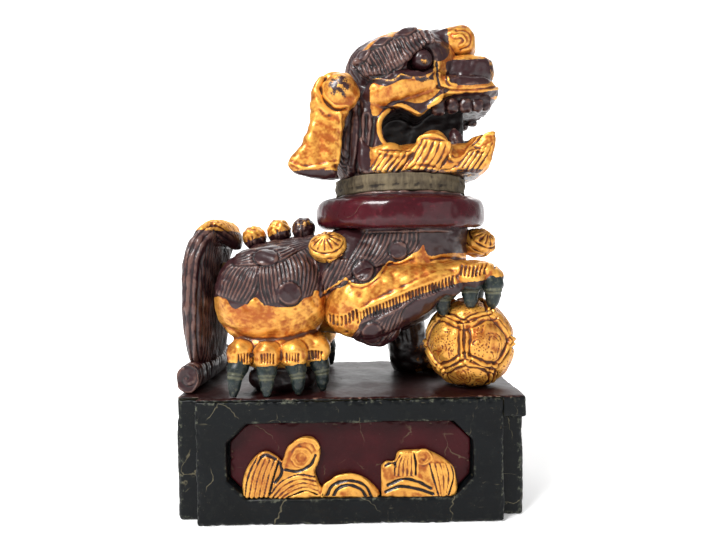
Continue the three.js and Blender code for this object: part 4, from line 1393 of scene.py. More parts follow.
def bell(node, axis, seed):
    """A round bell with petals round its loop, two rims and a slit."""
    low, high = box_of(node)
    if node == "chest_bell":
        low, high = low + [-2, -7, 0], high + [-2, -7, 0]
    c, r = (low + high) / 2, (high - low) / 2
    axis = np.array(axis) / np.linalg.norm(axis)
    clay = Clay(low - 1, high + 1, cell("head"))
    clay.egg(c, r - 0.4)
    skin = clay.skin(1)
    n = (skin.p - c) / r
    n /= np.linalg.norm(n, axis=1)[:, None]
    up = n @ axis
    side = np.cross(axis, [0, 0, 1.0])
    side /= np.linalg.norm(side)
    fore = np.cross(side, axis)
    angle = np.arctan2(n @ side, n @ fore)
    tilt = np.arccos(np.clip(up, -1, 1))
    petals = gouged(angle * 6) * smooth(tilt, 0.12, 0.3) * smooth(-tilt, -1.05, -0.85)
    height = 1.1 * petals - 1.0 * bump(tilt, 1.1, 0.06) + 0.7 * bump(tilt, 1.32, 0.16)
    height -= 0.9 * bump(tilt, 1.55, 0.06)
    slit = bump((n @ side) * r[0], 0, 0.9) * (tilt > 1.6)
    height -= 2.0 * slit
    skin.push(height, n)
    worked(skin, size=6, seed=seed)
    done(skin, f"{node}_carving", [node], "gilding", gilt=1.0)


def knob(i):
    """A knob of the spine with a cut down its back."""
    low, high = box_of(f"spine_knob_{i}")
    c, r = (low + high) / 2, (high - low) / 2
    clay = Clay(low - 2, high + 2, cell("head"))
    clay.egg(c, r + [0.3, 1.2, 0.6], power=2.1)
    skin = clay.skin(1)
    n = (skin.p - c) / np.linalg.norm(skin.p - c, axis=1)[:, None]
    height = -0.6 * bump(np.abs(n[:, 0]) * 9, 0, 0.7) * (n[:, 2] < 0.1)
    skin.push(height, n)
    worked(skin, size=5, seed=29 + i, share=1.2)
    gilt = (0.35 if i == 3 else 1.0) * smooth(skin.z - c[2] - 0.35 * (skin.x - c[0]), -5, 2)
    done(skin, f"spine_knob_{i}_carving", [f"spine_knob_{i}"], "gilding", gilt=gilt)


class LION_OT_bells(bpy.types.Operator):
    """Shapes the bells on the shoulders and chest, and the knobs along the spine"""

    bl_idname = "lion.bells"
    bl_label = "Bells and knobs"

    def execute(self, context):
        facing = {
            "right_shoulder_bell": (-0.1, -0.75, 0.65),
            "left_shoulder_bell": (-0.1, 0.75, 0.65),
            "chest_bell": (0.45, -0.6, 0.65),
        }
        for seed, (node, axis) in enumerate(facing.items(), 23):
            bell(node, axis, seed)
        for i in (1, 2, 3):
            knob(i)
        return {"FINISHED"}


def lathe(profile, centre, around, oval):
    """The turned skin of [radius, height] points, round or oval."""
    p = np.asarray(profile, float)
    turn = np.arange(around) * 2 * math.pi / around
    rings = []
    for r, z in p:
        rings.append(np.stack([r * np.cos(turn), oval * r * np.sin(turn), np.full(around, z)], 1))
    points = np.concatenate(rings) + centre
    return points, np.array(net(len(p), around), np.int64)


def ringed(profile, centre, around, oval=1.0):
    """A ring-shaped turned body: the profile goes round and closes on itself."""
    points, quads = lathe(profile, centre, around, oval)
    last = (len(profile) - 1) * around
    more = [[last + j, last + (j + 1) % around, (j + 1) % around, j] for j in range(around)]
    return points, np.vstack([quads, more])


def collar_ring():
    """The oval lacquered collar, a little out of true."""
    low, high = box_of("collar_ring")
    r, h = (high[0] - low[0]) / 2, high[2] - low[2]
    outer = [(0.885, 0.0), (0.93, 0.015), (0.965, 0.07), (0.99, 0.18), (1.0, 0.34), (1.0, 0.56), (0.99, 0.74),
        (0.966, 0.86), (0.935, 0.93), (0.90, 0.972), (0.87, 1.0)]
    profile = [(a * r, b * h) for a, b in curve(outer, 40)]
    inner = STUMP_RADIUS + 0.4
    profile = [(inner, 0.0), (inner + 3, 0.0)] + profile + [(inner + 3, h), (inner, h - 0.6)]
    profile += [(inner, b) for b in np.linspace(h - 2, 1, 8)]
    points, quads = ringed(profile, (NECK_X, 0, low[2]), 260, COLLAR_OVAL)
    reach = np.hypot(points[:, 0] - NECK_X, points[:, 1])
    inside = reach < 53.5
    flat = np.hypot(points[:, 0] - NECK_X, points[:, 1] / COLLAR_OVAL)
    points[:, 1] = np.where(flat < 53, points[:, 1] / COLLAR_OVAL, points[:, 1])
    skin = gathered([(points, quads)])
    n = skin.normals()
    skin.push(np.where(inside, 0, 0.35 * ripple(points, 26, 41) + 0.12 * ripple(points, 7, 42) - 0.4), n)
    skin.p[:, 2] += COLLAR_TILT * skin.y
    done(skin, "collar_carving", ["collar_ring"], "red_lacquer", "collar")


def bare_neck():
    """The head's own round neck, standing on the stump."""
    low, high = box_of("neck")
    h = high[2] - low[2]
    profile = [(9.8, 0), (30, 0), (50.6, 0), (51.3, 0.8)]
    profile += [(51.3 - 0.5 * math.sin(t * 9), t * (h - 1.5) + 0.8) for t in np.linspace(0.1, 1, 10)]
    profile += [(49, h), (30, h), (9.8, h)]
    profile += [(9.8, b) for b in np.linspace(h - 1, 1, 5)]
    points, quads = ringed(profile, (NECK_X, 0, low[2]), 220)
    skin = gathered([(points, quads)])
    reach = np.hypot(points[:, 0] - NECK_X, points[:, 1])
    skin.push(np.where(reach > 40, 0.4 * ripple(points, 12, 43) + 0.1 * ripple(points, 3.5, 44) - 0.5, 0))
    done(skin, "neck_carving", ["neck"], "bare_wood", "bare", body="head")


def dowel():
    """The pin that the head turns on, with eased ends."""
    low, high = box_of("neck_dowel")
    z = np.array([low[2], low[2] + 0.05, low[2] + 1.5, *np.linspace(low[2] + 4, high[2] - 4, 12), high[2] - 1.5,
        high[2] - 0.05, high[2]])
    radii = np.array([5.0, 7.4, 8.9, *[8.95] * 12, 8.9, 7.4, 5.0])
    line = np.stack([np.full(len(z), NECK_X), np.zeros(len(z)), z], 1)
    skin = gathered([swept(line, radii, 40)])
    done(skin, "dowel_turning", ["neck_dowel"], "dowel_wood", "dowel", body="dowel")


def peg(node):
    """A peg inside the wood, with eased ends."""
    low, high = box_of(node)
    mid, half = (low + high) / 2, (high - low) / 2
    axis = int(np.argmax(half))
    ends = np.tile(mid, (8, 1))
    ends[:, axis] = np.interp([0, 0.02, 0.06, 0.3, 0.7, 0.94, 0.98, 1], [0, 1], [low[axis], high[axis]])
    skin = gathered([swept(ends, [2.4, 3.4, 3.9, 3.95, 3.95, 3.9, 3.4, 2.4], 24)])
    done(skin, f"{node}_turning", [node], "dowel_wood", "dowel")


class LION_OT_collar(bpy.types.Operator):
    """Turns the collar, the bare neck and the pins"""

    bl_idname = "lion.collar"
    bl_label = "Collar and neck"

    def execute(self, context):
        collar_ring()
        bare_neck()
        dowel()
        for node in ("ball_peg", "tail_peg"):
            peg(node)
        return {"FINISHED"}


def z_of(lift):
    """Heights in the head are above its underside."""
    return HEAD_BASE + lift


def seat(clay):
    """Cuts the head's wood off level above the neck, and bores it for the dowel."""
    radius, depth = 9.6, 9.6
    clay.trim((-60, -80, NECK_TOP - 60), (150, 80, NECK_TOP + GAP))
    clay.work((NECK_X - 10, -10, NECK_TOP - 5), (NECK_X + 10, 10, NECK_TOP + 12),
        lambda x, y, z: np.maximum(np.hypot(x - NECK_X, y) - radius, z - NECK_TOP - depth), take=True)


def head_clay():
    """The skull, brows, cheeks, nose and lip round the open mouth."""
    w, z = HEAD_HALF, z_of
    clay = Clay((-34, -58, NECK_TOP - 2), (122, 58, z(112)), cell("head"))
    clay.limb([[2, 0, z(60), w - 10, 20], [22, 0, z(69), w - 1, 29], [54, 0, z(78), w - 2, 30],
        [88, 0, z(82), 34, 20]], power=2.2)
    clay.egg((15, 0, z(27)), (26, w - 3, 40), blend=4, power=2.8)
    clay.block((20, -7, z(-2)), (91, 7, z(62)), soft=3, blend=3)
    clay.limb([[50, 0, z(58), w - 6, 9], [86, 0, z(58), w - 6, 9], [118, 0, z(58), w - 15, 8]], blend=2, power=3.0)
    clay.egg((91, 0, z(73.5)), (23, w - 17, 12.5), blend=1.5, power=3.2)
    for side in (-1, 1):
        # cheek, brow, nostril and socket on each side
        clay.limb([[12, side * (w - 8), z(48), 8, 12], [36, side * (w - 4), z(55), 9, 10],
            [58, side * (w - 6), z(60), 8, 9], [72, side * (w - 12), z(60), 7, 8]], blend=2)
        clay.egg((54, side * (w - 2), z(75)), (12.5, 10, 11.5), blend=2, take=True)
        brow = [(40, 39, 66), (43, 41, 78), (51, 40, 86), (61, 38, 86), (68, 35, 79), (67, 36, 70)]
        clay.rope([(x, side * y, z(h)) for x, y, h in brow], [1.4, 2.4, 2.6, 2.4, 2.0, 1.6], blend=1.5)
        lid = [(22, 43, 62.5), (34, 43.5, 60.5), (42, 42.5, 65), (54, 42, 63), (64, 38, 68)]
        clay.rope([(x, side * y, z(h)) for x, y, h in lid], [1.0, 1.5, 1.6, 1.4, 1.0], blend=1.5)
        ridge = [(8, 38, 73), (16, 42, 65.5), (25, 44, 63), (34, 44, 66.5), (41, 43, 74.5), (47, 41.5, 83),
            (57, 38, 87.5), (66, 34, 88)]
        clay.rope([(x, side * y, z(h)) for x, y, h in ridge], [1.5, 2.5, 3.0, 3.0, 2.8, 2.6, 2.2, 1.4], blend=3)
        clay.egg((88, side * 22, z(66)), (7, 8, 5.5), blend=2)
        clay.egg((93, side * 24, z(65)), (4, 5, 2.2), blend=1, take=True)
    clay.egg((83, 0, z(96.5)), (18, w - 20, 12.5), blend=1.2, power=2.6)
    for side in (-1, 1):
        clay.egg((87, side * 15, z(99)), (11, 11, 9), blend=3)
    clay.block((72, -1.2, z(88)), (104, 1.2, z(112)), soft=1.0, blend=2.5, take=True)
    fold = [(24, 54), (70, 54), (66, 45), (61, 42), (57.5, 38), (53, 35.5), (48.5, 37), (44, 39.5), (36, 42),
        (24, 42)]
    clay.board([(x, z(h)) for x, h in fold], 4 - w, w - 4, soft=2, blend=2, steps=2)
    clay.limb([[48, 0, z(96), 24, 11], [70, 0, z(97.5), 24, 11], [90, 0, z(97), 20, 11]], blend=3)
    # open mouth with its drilled corners, and the web left in the middle
    corner = (38.5, z(27.0))
    for side in (-1, 1):
        clay.work((corner[0] - 16, min(side * 7, side * 60), corner[1] - 16),
            (corner[0] + 16, max(side * 7, side * 60), corner[1] + 16),
            lambda x, y, z, s=side: np.maximum(np.hypot(x - corner[0], z - corner[1]) - 13.2, 7 - s * y),
            blend=0.8, take=True)
    gape = [(36, 40), (44, 38.5), (48.5, 36), (53, 34.5), (57.5, 37), (61, 41), (66, 44.5), (72, 45.5),
        (90, 46), (124, 49), (124, 4), (60, 4), (44, 16)]
    for side in (-1, 1):
        low, high = sorted((side * 7.0, side * 62.0))
        clay.board([(x, z(h)) for x, h in gape], low, high, soft=0.3, take=True, steps=1)
    clay.board([(94, z(46)), (124, z(48)), (124, z(2)), (94, z(2))], -20, 20, soft=0.3, take=True, steps=1)
    seat(clay)
    return clay


class LION_OT_head(bpy.types.Operator):
    """Carves the skull with its brows, cheeks, nose and upper lip"""

    bl_idname = "lion.head"
    bl_label = "Head"

    def execute(self, context):
        skin = head_clay().skin(2)
        p, n = skin.p, skin.normals()
        x, z = on_sheet(p)
        sheet = sheet_of("flank")
        side = smooth(np.abs(n[:, 1]) + 0.8 * np.maximum(n[:, 2], 0), 0.15, 0.5)
        outside = 1 - smooth(-np.abs(p[:, 1]), -16, -12) * (p[:, 2] < z_of(45))
        height = sheet.read("height", x, z) * side * outside
        # the mane falls down the back of the head in parted locks
        back = smooth(-n[:, 0], 0.35, 0.7) * smooth(-p[:, 0], -14, -2)
        comb = gouged((p[:, 1] + 3 * np.sin(p[:, 2] / 11)) * math.pi / 3.6, 0.7)
        height += back * (1.2 * comb + 0.8 * np.abs(np.sin(p[:, 1] * math.pi / 18)))
        skin.fields["gilt"] = sheet.read("gilt", x, z) * (1 - back)
        skin.push(height, n)
        worked(skin, seed=51)
        p = skin.p
        boss = smooth(p[:, 0], 74, 80) * smooth(p[:, 2], z_of(84), z_of(88))
        front = smooth(n[:, 0], 0.5, 0.8) * smooth(p[:, 0], 98, 104)
        nose_face = front * smooth(p[:, 2], z_of(62), z_of(66))
        gilt = np.maximum(skin.fields["gilt"], boss)
        gilt = np.where(nose_face > 0.5, 0.45, gilt)
        inner = smooth(-np.abs(p[:, 1]), -37, -30) * (p[:, 2] < z_of(50)) * (p[:, 0] > 22)
        skin.fields["gilt"] = gilt * (1 - inner)
        socket = bump(np.hypot(p[:, 0] - 54, p[:, 2] - z_of(75)), 9.5,
            2.2) * (np.abs(p[:, 1]) < 43) * (np.abs(p[:, 1]) > 30)
        done(skin, "head_carving", ["skull", "upper_lip", "nose", "forehead_boss", "right_cheek", "left_cheek"],
            "maroon_lacquer", shade=np.clip(0.93 * inner + 0.7 * socket, 0, 1), body="head")
        return {"FINISHED"}


JAW_TOP = [(10, 20), (17, 12.5), (24, 10), (33, 9), (42, 9.5), (48, 12), (52, 17), (55, 20), (62, 21), (69, 19),
    (73, 14), (76, 9.5), (82, 8), (88, 10), (93, 14), (99, 20), (104, 22.5), (107, 20.5), (107.5, 13),
    (105.5, 4), (102, -2), (94, -7), (82, -7.5), (60, -8), (30, -8), (12, -8), (8, 4)]


def jaw_clay():
    """The lower jaw with its jowl, beard curls and tongue."""
    w, z = HEAD_HALF, z_of
    clay = Clay((-4, -56, NECK_TOP - 2), (122, 56, z(36)), cell("head"))
    clay.limb([[10, 0, z(5), w - 5, 16], [52, 0, z(4), w - 2, 15], [92, 0, z(6), w - 7, 14],
        [109, 0, z(14), w - 18, 12]], power=2.9)
    for side in (-1, 1):
        low, high = sorted((side * (w - 13), side * (w - 1.5)))
        clay.board([(x, z(h)) for x, h in JAW_TOP], low, high, soft=4, blend=3, steps=3)
        clay.egg((63, side * (w - 7), z(12)), (12, 8.5, 12), blend=3)
        clay.egg((30, side * (w - 8), z(8)), (12, 8.5, 8), blend=3)
        clay.egg((97, side * (w - 14), z(12)), (10, 7, 9), blend=3)
    clay.egg((102, 0, z(19)), (8, 26, 7), blend=3, power=2.6)
    clay.egg((60, 0, z(26)), (44, 30, 13), blend=2, take=True, power=2.6)
    clay.limb([[58, 0, z(12), 14, 5], [80, 0, z(16), 15, 5.5], [96, 0, z(20), 12, 5], [104, 0, z(24), 7, 3]], blend=2)
    for side in (-1, 1):
        for x in (24, 36):
            clay.egg((x, side * 20, z(12)), (9, 8, 6), blend=3, take=True)
    clay.egg((38.5, 0, z(27)), (13, 80, 13), blend=1, take=True)
    clay.limb([[30, 0, z(10), 14, 9], [54, 0, z(11), 14, 9]], blend=2)
    seat(clay)
    return clay


def beard_sheet():
    """Locks and ridges of the curled beard."""
    beard = Sheet((-6, NECK_TOP - 4), (126, HEAD_BASE + 44))
    locks = (([(25.5, 255.5), (21, 248.5), (15.5, 240.5)], [(47.5, 254), (41.5, 246), (35, 238.5)], 5),
        ([(54, 263), (49, 254), (41.5, 242.5)], [(74.5, 260.5), (71, 249.5), (63, 238.5)], 5),
        ([(86.5, 253.5), (82, 248), (77.5, 242)], [(103.5, 260.5), (99, 251), (90.5, 239)], 4))
    for first, last, strands in locks:
        beard.lock(first, last, strands, lift=2.0, depth=1.5)
    beard.stroke([(50.5, 262.5), (53, 264.5), (60.5, 265.5), (68.5, 263), (72, 256.5), (73, 249.5)], 1.1, 1.6)
    beard.stroke([(73, 249.5), (77.5, 248), (83, 251), (88.5, 258), (96, 265), (104.5, 267)], 1.1, 1.4)
    beard.stroke([(23, 255), (32, 253), (43.5, 253), (50.5, 258.5)], 1.0, 1.2)
    beard.stroke([(43.5, 241.5), (49, 245), (60.5, 244), (71.5, 241.5), (77, 244)], 1.0, -1.4)
    beard.stroke([(90, 258), (94.5, 256), (100, 258)], 0.9, -1.2)
    beard.stroke([(92, 254), (95.5, 253), (101.5, 255)], 0.9, -1.2)
    beard.soften(1)
    return beard


class LION_OT_jaw(bpy.types.Operator):
    """Carves the lower jaw with its curled beard"""

    bl_idname = "lion.jaw"
    bl_label = "Lower jaw"

    def execute(self, context):
        w, z = HEAD_HALF, z_of
        skin = jaw_clay().skin(2)
        p, n = skin.p, skin.normals()
        x, zz = on_sheet(p)
        side = smooth(np.abs(n[:, 1]), 0.2, 0.5) * (np.abs(p[:, 1]) > 22)
        skin.push(beard_sheet().read("height", x, zz) * side, n)
        front = smooth(n[:, 0], 0.4, 0.7) * (p[:, 0] > 96)
        curl = gouged(p[:, 1] * math.pi / 4.2 + 0.25 * p[:, 2], 0.7)
        skin.push(1.0 * curl * front * (p[:, 2] < z(17)))
        worked(skin, seed=61)
        p = skin.p
        floor = smooth(n[:, 2], 0.3, 0.8) * (np.abs(p[:, 1]) < w - 12) * (p[:, 0] < 104)
        inner = np.maximum(floor, smooth(-np.abs(p[:, 1]), -33, -27) * (p[:, 0] < 100) * (p[:, 2] > z(4)))
        low = smooth(-p[:, 2], -z(-2), -z(-6))
        gilt = (1 - 0.6 * low) * (1 - inner) * smooth(p[:, 0], 14, 20)
        done(skin, "lower_jaw_carving", ["lower_jaw"], "gilding", gilt=gilt, shade=0.85 * inner, body="head")
        return {"FINISHED"}


def upper_teeth():
    """The row of teeth under the lip, smaller towards the front."""
    w, z = HEAD_HALF, z_of
    clay = Clay((60, -40, z(36)), (118, 40, z(58)), cell("head"))
    clay.egg((88, 0, z(50)), (24, w - 14, 5), power=3.4)
    row = [(69, 30.5, 5.2, 8), (79, 31.8, 4.6, 7), (89, 31.5, 4.6, 7), (98, 29, 4.4, 6.2), (105, 24, 3.8, 4.5)]
    row += [(107, 18, 3.6, 1.5), (109, 10, 3.6, 1), (109.5, 3.4, 3.2, 1)]
    for side in (-1, 1):
        for x, y, r, tall in row:
            clay.egg((x - 1, side * y, z(47.5 - tall * 0.55)), (r, r * 0.95, tall * 0.75), blend=0.5, power=3.0)
    skin = clay.skin(1)
    worked(skin, size=5, seed=71, share=0.8)
    inner = smooth(-np.abs(skin.y), -26, -20) * (skin.x < 100)
    done(skin, "upper_teeth_carving", ["upper_teeth"], "maroon_lacquer", gilt=0.08, shade=0.25 + 0.6 * inner,
        body="head")


def fang(name, s):
    """A blunt fang standing in the lower jaw."""
    z = z_of
    clay = Clay((66, min(s * 12, s * 40), z(4)), (92, max(s * 12, s * 40), z(40)), cell("head"))
    clay.rope([(82.5, s * 28, z(4)), (82, s * 28, z(13)), (81, s * 28, z(21)), (80, s * 27.5, z(25.5))],
        [7.0, 6.4, 5.0, 2.6])
    skin = clay.skin(1)
    worked(skin, size=5, seed=73, share=0.8)
    done(skin, f"{name}_fang_carving", [f"{name}_fang"], "maroon_lacquer", gilt=0.0, body="head")


def eye(name, s):
    """An eye with a cut round its pupil."""
    low, high = box_of(f"{name}_eye")
    c, r = (low + high) / 2, (high - low) / 2
    clay = Clay(low - 1, high + 1, cell("head"))
    clay.egg(c, r, power=2.0)
    skin = clay.skin(1)
    n = skin.p - c
    look = n @ np.array([0.25, s * 0.92, -0.12]) / np.linalg.norm(n, axis=1)
    tilt = np.arccos(np.clip(look, -1, 1))
    skin.push(-0.25 * bump(tilt, 0.62, 0.12))
    gilt = 0.5 * smooth(-tilt, -0.9, -0.5) * smooth(-skin.z, -c[2] - 1, -c[2] + 3)
    done(skin, f"{name}_eye_carving", [f"{name}_eye"], "maroon_lacquer", gilt=gilt, body="head")


class LION_OT_teeth(bpy.types.Operator):
    """Shapes the upper teeth, the fangs and the eyes"""

    bl_idname = "lion.teeth"
    bl_label = "Teeth and eyes"

    def execute(self, context):
        upper_teeth()
        for name, s in (("right", -1), ("left", 1)):
            fang(name, s)
            eye(name, s)
        return {"FINISHED"}


EAR = [(-12.0, 311.8), (-19.0, 307.0), (-23.6, 299.5), (-25.0, 291.0), (-25.2, 283.0), (-26.1, 275.3),
    (-31.9, 261.5), (-40.4, 251.0), (-40.9, 244.5), (-28.1, 238.2), (-8.6, 237.8), (-6.5, 245.2), (-4.0, 252.0),
    (-2.6, 269.4), (1.8, 283.2), (8.6, 291.4), (9.5, 300.0), (3.0, 308.0), (-4.5, 312.0)]


def ear_sheet():
    """Folds of the ear."""
    mark = Sheet((-60, HEAD_BASE - 14), (30, HEAD_BASE + 90))
    mark.stroke([(-14.5, 307), (-17, 302.5), (-16.5, 295.5), (-13, 289.5), (-7.5, 285), (0.5, 285)], 1.2, -3.2)
    mark.stroke([(-18, 307), (-21, 300), (-19, 290), (-13.5, 283)], 2.0, 0.9)
    mark.stroke([(-4, 283), (-3.5, 270.5), (-4.5, 258), (-6.5, 246.5)], 1.2, 1.0)
    mark.stroke([(-40, 248), (-30, 244), (-18.5, 245), (-7, 247.5)], 1.2, 1.1)
    mark.soften(1)
    return mark


class LION_OT_ears(bpy.types.Operator):
    """Carves the long gilded ears with their round bosses"""

    bl_idname = "lion.ears"
    bl_label = "Ears"

    def execute(self, context):
        w, z = HEAD_HALF, z_of
        for side in ("right", "left"):
            clay = Clay((-46, -60, z(-14)), (14, -30, z(72)), cell("head"))
            clay.board(EAR, -w - 6.5, -w + 7.5, soft=6.0, steps=4)
            clay.egg((-3.6, -w - 1, z(51)), (12.6, 11.2, 12.6), blend=0.3)
            skin = clay.skin(2)
            p, n = skin.p, skin.normals()
            x, zz = on_sheet(p)
            face = smooth(-n[:, 1], 0.15, 0.45)
            skin.push(ear_sheet().read("height", x, zz) * face, n)
            worked(skin, seed=81)
            p = skin.p
            boss = np.hypot(p[:, 0] + 4, p[:, 2] - z(51.5))
            gilt = 1 - 0.64 * np.exp(-((boss / 10.0) ** 4)) * (p[:, 1] < -w - 4)
            rim = smooth(-p[:, 2], -z(-3.5), -z(-7.0))
            gilt *= (1 - 0.9 * rim) * smooth(-p[:, 1], w - 8, w - 4)
            if side == "left":
                # hand carved: this ear came out shorter
                skin.p[:, 2] = np.where(p[:, 2] < 300, 300 - (300 - p[:, 2]) * 0.8, p[:, 2])
                skin.mirror()
            done(skin, f"{side}_ear_carving", [f"{side}_ear"], "gilding", gilt=gilt, body="head")
        return {"FINISHED"}


class LION_OT_plinth(bpy.types.Operator):
    """Builds the plinth's slab, boards, sunk panel and low reliefs"""

    bl_idname = "lion.plinth"
    bl_label = "Plinth"

    def execute(self, context):
        grain = cell("body") * 1.7
        core = box_of("plinth_core")
        clay = Clay(core[0], core[1] + [0, 0, 14], grain)
        clay.block(core[0], core[1], soft=1.6)
        clay.block((core[0][0], core[0][1], 50), (box_of("front_board")[0][0] - 0.4, core[0][1] + 2.4,
            DECK - 1.8), soft=1.0)
        for sx in (-1, 1):
            for sy in (-1, 1):
                clay.rope([(sx * 120, sy * 60, -5), (sx * 120, sy * 60, 90)], [1.4], blend=1.0, take=True, count=2)
        self.slab(clay, "plinth_core", "black_lacquer", "black", 91)

        low, high = box_of("plinth_top")
        clay = Clay(low, high, grain * 0.8)
        clay.block(low, high, soft=2.2)
        board_low, _ = box_of("front_board")
        clay.block((low[0] - 5, low[1] - 5, low[2] - 5), (board_low[0], core[0][1] + 0.2, high[2] + 5),
            soft=0.1, blend=1, take=True)
        clay.trim((board_low[0] - 5, low[1] - 5, low[2] - 5), (-board_low[0] + 0.2, low[1] + 2.6, high[2] - 1.6))
        clay.trim((low[0] - 5, low[1] - 5, low[2] - 5), (board_low[0] + 0.2, core[0][1] + 2.8, high[2] - 1.6))
        skin = clay.skin(2)
        p = skin.p
        worked(skin, size=24, seed=92)
        skin.push(-0.5 * np.clip(ripple(p, 6, 93), 0, 1) * edge_of(p, low, high))
        self.edge_black(skin)

        low, high = box_of("back_board")
        clay = Clay(low, high, grain)
        clay.block(low, high, soft=1.8)
        self.slab(clay, "back_board", "black_lacquer", "black", 94)

        low, high = box_of("front_board")
        rise = np.array([0, 0, DECK - 1.8 - high[2]])
        clay = Clay(low, high + rise, grain * 0.62)
        clay.block(low, high, soft=2.0)
        clay.block((low[0], low[1], high[2] - 12), (high[0], low[1] + 2.3, DECK - 1.8), soft=1.0)
        clay.board(recess_outline(0.2), low[1] - 4, high[1] + 4, soft=0.1, blend=2.2, take=True, steps=1)
        self.slab(clay, "front_board", "black_lacquer", "black", 95)

        low, high = box_of("recess_ground")
        clay = Clay(low, high, grain * 0.8)
        clay.board(recess_outline(-0.4), low[1], high[1] + 0.2, soft=0.4, steps=1)
        self.slab(clay, "recess_ground", "red_lacquer", "ground", 96)

        sheet = sheet_of("panel")
        for name, outline in RELIEFS.items():
            low, high = box_of(f"relief_{name}")
            clay = Clay(low - 1, high + 1, grain * 0.48)
            clay.board(outline, low[1] + 0.4, high[1] + 0.4, soft=2.4, steps=5)
            skin = clay.skin(2)
            p, n = skin.p, skin.normals()
            face = smooth(-n[:, 1], 0.1, 0.5)
            cut = sheet.read("height", p[:, 0], p[:, 2]) * face
            skin.push(cut * 1.25, n)
            skin.push(0.2 * ripple(skin.p, 6, 97) * face)
            skin.p[:, 1] = np.maximum(skin.y, low[1])
            edge = smooth(skin.y, low[1] + 2.5, low[1] + 4.5)
            done(skin, f"relief_{name}_carving", [f"relief_{name}"], "gilding",
                gilt=(1 - 0.7 * edge) * smooth(cut, -0.75, -0.1), shade=0.5 * smooth(-cut, 0.5, 1.2))
        return {"FINISHED"}

    def slab(self, clay, node, slot, finish, seed):
        """A board with chipped edges, put in place of its CAD node."""
        skin = clay.skin(1)
        low, high = skin.p.min(0), skin.p.max(0)
        worked(skin, size=30, seed=seed, share=0.8)
        skin.push(-0.6 * np.clip(ripple(skin.p, 5, seed + 7), 0, 1) * edge_of(skin.p, low, high))
        if "board" in node or node == "plinth_core":
            skin.p[:, 2] = np.maximum(skin.z, 0.0)
        done(skin, f"{node}_joinery", [node], slot, finish)

    def edge_black(self, skin):
        """The slab is brown-red on top and black on its edges."""
        made = done(skin, "plinth_top_joinery", ["plinth_top"], "deck_lacquer", "deck")
        mesh = made.data
        mesh.materials.append(finish_of("black"))
        normal = np.empty(len(mesh.polygons) * 3, np.float32)
        mesh.polygons.foreach_get("normal", normal)
        top = normal.reshape(-1, 3)[:, 2] > 0.55
        mesh.polygons.foreach_set("material_index", (~top).astype(np.int32))


def edge_of(p, low, high):
    """1 near the long edges of a block, 0 away from them."""
    near_side = [np.minimum(p[:, i] - low[i], high[i] - p[:, i]) for i in range(3)]
    second = np.sort(np.stack(near_side), 0)[1]
    return 1 - smooth(second, 1.0, 4.0)


def recess_outline(grow):
    """The cartouche with cut corners, larger all round by grow."""
    low, high = box_of("recess_ground")
    side, corner = high[0] + GAP + grow, 13.0
    foot, top = low[2] - GAP - grow, high[2] + GAP + grow
    half = [(side - corner, foot), (side, foot + corner), (side, top - corner), (side - corner, top)]
    left = [(-x, z) for x, z in half]
    return [left[0], *half, *left[:0:-1]]


RELIEFS = {
    "bird": [(-73, 18.5), (-73.5, 28.5), (-70, 39), (-63.5, 47), (-57, 49.5), (-49.5, 45.5), (-45.5, 42.5),
        (-41.5, 52), (-33.5, 58.5), (-25, 58.5), (-20.5, 52), (-21, 43), (-24, 35.5), (-22, 28), (-21, 17.5)],
    "wave": [(-21, 17.5), (-17.5, 26), (-6.5, 32.5), (2.5, 33), (13, 28), (18, 17)],
    "beast": [(19.5, 17), (21, 27), (18.5, 33), (23.5, 41), (30, 41.5), (33, 48), (43.5, 49), (48, 49),
        (54.5, 48), (66.5, 41), (71.5, 32.5), (68, 16)],
}


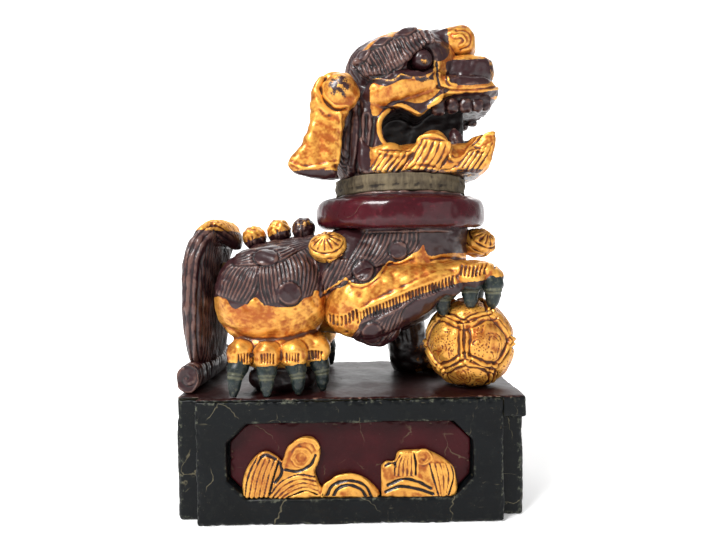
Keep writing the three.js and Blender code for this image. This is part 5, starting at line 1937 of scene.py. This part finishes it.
class LION_OT_studio(bpy.types.Operator):
    """Sets the plain pale floor, soft lights and the camera"""

    bl_idname = "lion.studio"
    bl_label = "Studio"

    def execute(self, context):
        scene = context.scene
        c = scene.lion_finishes
        f = Finish("Studio floor")
        cloud = f.noise(300, 2)
        f.finish(f.mix(cloud.over(0.3, 0.7), c.floor, [v * 0.97 for v in c.floor]), 0.6)
        # the floor glows as painted light: a quarter strength near the lion, full white farther off
        f.feed(f.shader.inputs["Emission Color"], f.mix(f.field("far"), (0.25, 0.25, 0.25), (1, 1, 1)))
        f.shader.inputs["Emission Strength"].default_value = 1.0
        across = np.linspace(-3, 3, 61)
        turn = np.linspace(0, math.pi / 2, 12)
        back = [(y, 0.0) for y in np.linspace(-2.5, 2.0, 46)]
        back += [(2.0 + 0.6 * math.sin(t), 0.6 - 0.6 * math.cos(t)) for t in turn[1:]] + [(2.6, 1.4), (2.6, 2.4)]
        points = [(x, y, z) for y, z in back for x in across]
        wide = len(across)
        quads = [(r * wide + i, r * wide + i + 1, (r + 1) * wide + i + 1,
            (r + 1) * wide + i) for r in range(len(back) - 1) for i in range(wide - 1)]
        mesh = bpy.data.meshes.new("studio_floor")
        mesh.from_pydata(points, [], quads)
        far = mesh.attributes.new("far", "FLOAT", "POINT")
        far.data.foreach_set("value", smooth(np.hypot(*np.array(points)[:, :2].T), 0.25, 0.9).astype(np.float32))
        mesh.materials.append(f.material)
        floor = bpy.data.objects.new("studio_floor", mesh)
        scene.collection.objects.link(floor)

        world = bpy.data.worlds.new("Studio light")
        world.use_nodes = True
        glow = world.node_tree.nodes["Background"]
        glow.inputs["Color"].default_value = (1, 1, 1, 1)
        glow.inputs["Strength"].default_value = 0.32
        scene.world = world
        scene.view_settings.view_transform = "Standard"
        self.lamp("key_light", (-0.6, -0.8, 1.1), 0.45, 25)
        self.lamp("fill_light", (0.9, -0.9, 0.5), 0.8, 2.5)
        self.lamp("rim_light", (0.2, 0.9, 1.1), 1.2, 8)

        camera = bpy.data.cameras.new("camera")
        camera.sensor_width, camera.lens = 36, 27.52066
        made = bpy.data.objects.new("camera", camera)
        scene.collection.objects.link(made)
        yaw, pitch, roll = (math.radians(v) for v in (0.24, 1.03, -0.82))
        ahead = Vector((math.sin(yaw) * math.cos(pitch), math.cos(yaw) * math.cos(pitch), -math.sin(pitch)))
        right = Vector((math.cos(yaw), -math.sin(yaw), 0))
        up = right.cross(ahead)
        across = math.cos(roll) * right + math.sin(roll) * up
        upward = -math.sin(roll) * right + math.cos(roll) * up
        turn = Matrix((across, upward, -ahead)).transposed().to_4x4()
        made.matrix_world = Matrix.Translation(Vector(EYE_POINT) * MM) @ turn
        scene.camera = made
        return {"FINISHED"}

    def lamp(self, name, place, size, watts):
        """A soft square lamp that looks at the lion's chest."""
        aim = Vector((0.0, 0.0, 0.2))
        light = bpy.data.lights.new(name, "AREA")
        light.size, light.energy = size, watts
        made = bpy.data.objects.new(name, light)
        bpy.context.scene.collection.objects.link(made)
        made.location = place
        made.rotation_euler = (aim - Vector(place)).to_track_quat("-Z", "Y").to_euler()


PIECE_OPERATORS = (LION_OT_torso, LION_OT_hind_legs, LION_OT_forelegs, LION_OT_claws, LION_OT_ball,
    LION_OT_tail, LION_OT_bells, LION_OT_collar, LION_OT_head, LION_OT_jaw, LION_OT_teeth, LION_OT_ears,
    LION_OT_plinth, LION_OT_studio)


class LION_PT_pieces(bpy.types.Panel):
    """Lists the lion's pieces, sizes and colours"""

    bl_label = "Guardian lion"
    bl_idname = "LION_PT_pieces"
    bl_space_type = "VIEW_3D"
    bl_region_type = "UI"
    bl_category = "Lion"

    def draw(self, context):
        column = self.layout.column(align=True)
        for made in PIECE_OPERATORS:
            column.operator(made.bl_idname)
        for group in (context.scene.lion_sizes, context.scene.lion_finishes):
            for key in group.__annotations__:
                self.layout.prop(group, key)


CLASSES = (LionSizes, LionFinishes, *PIECE_OPERATORS, LION_PT_pieces)


def register():
    for made in CLASSES:
        bpy.utils.register_class(made)
    bpy.types.Scene.lion_sizes = bpy.props.PointerProperty(type=LionSizes)
    bpy.types.Scene.lion_finishes = bpy.props.PointerProperty(type=LionFinishes)


def unregister():
    del bpy.types.Scene.lion_sizes
    del bpy.types.Scene.lion_finishes
    for made in reversed(CLASSES):
        bpy.utils.unregister_class(made)


def main():
    """Builds the lion."""
    register()
    for made in PIECE_OPERATORS:
        group, name = made.bl_idname.split(".")
        getattr(getattr(bpy.ops, group), name)()


if __name__ == "__main__":
    main()
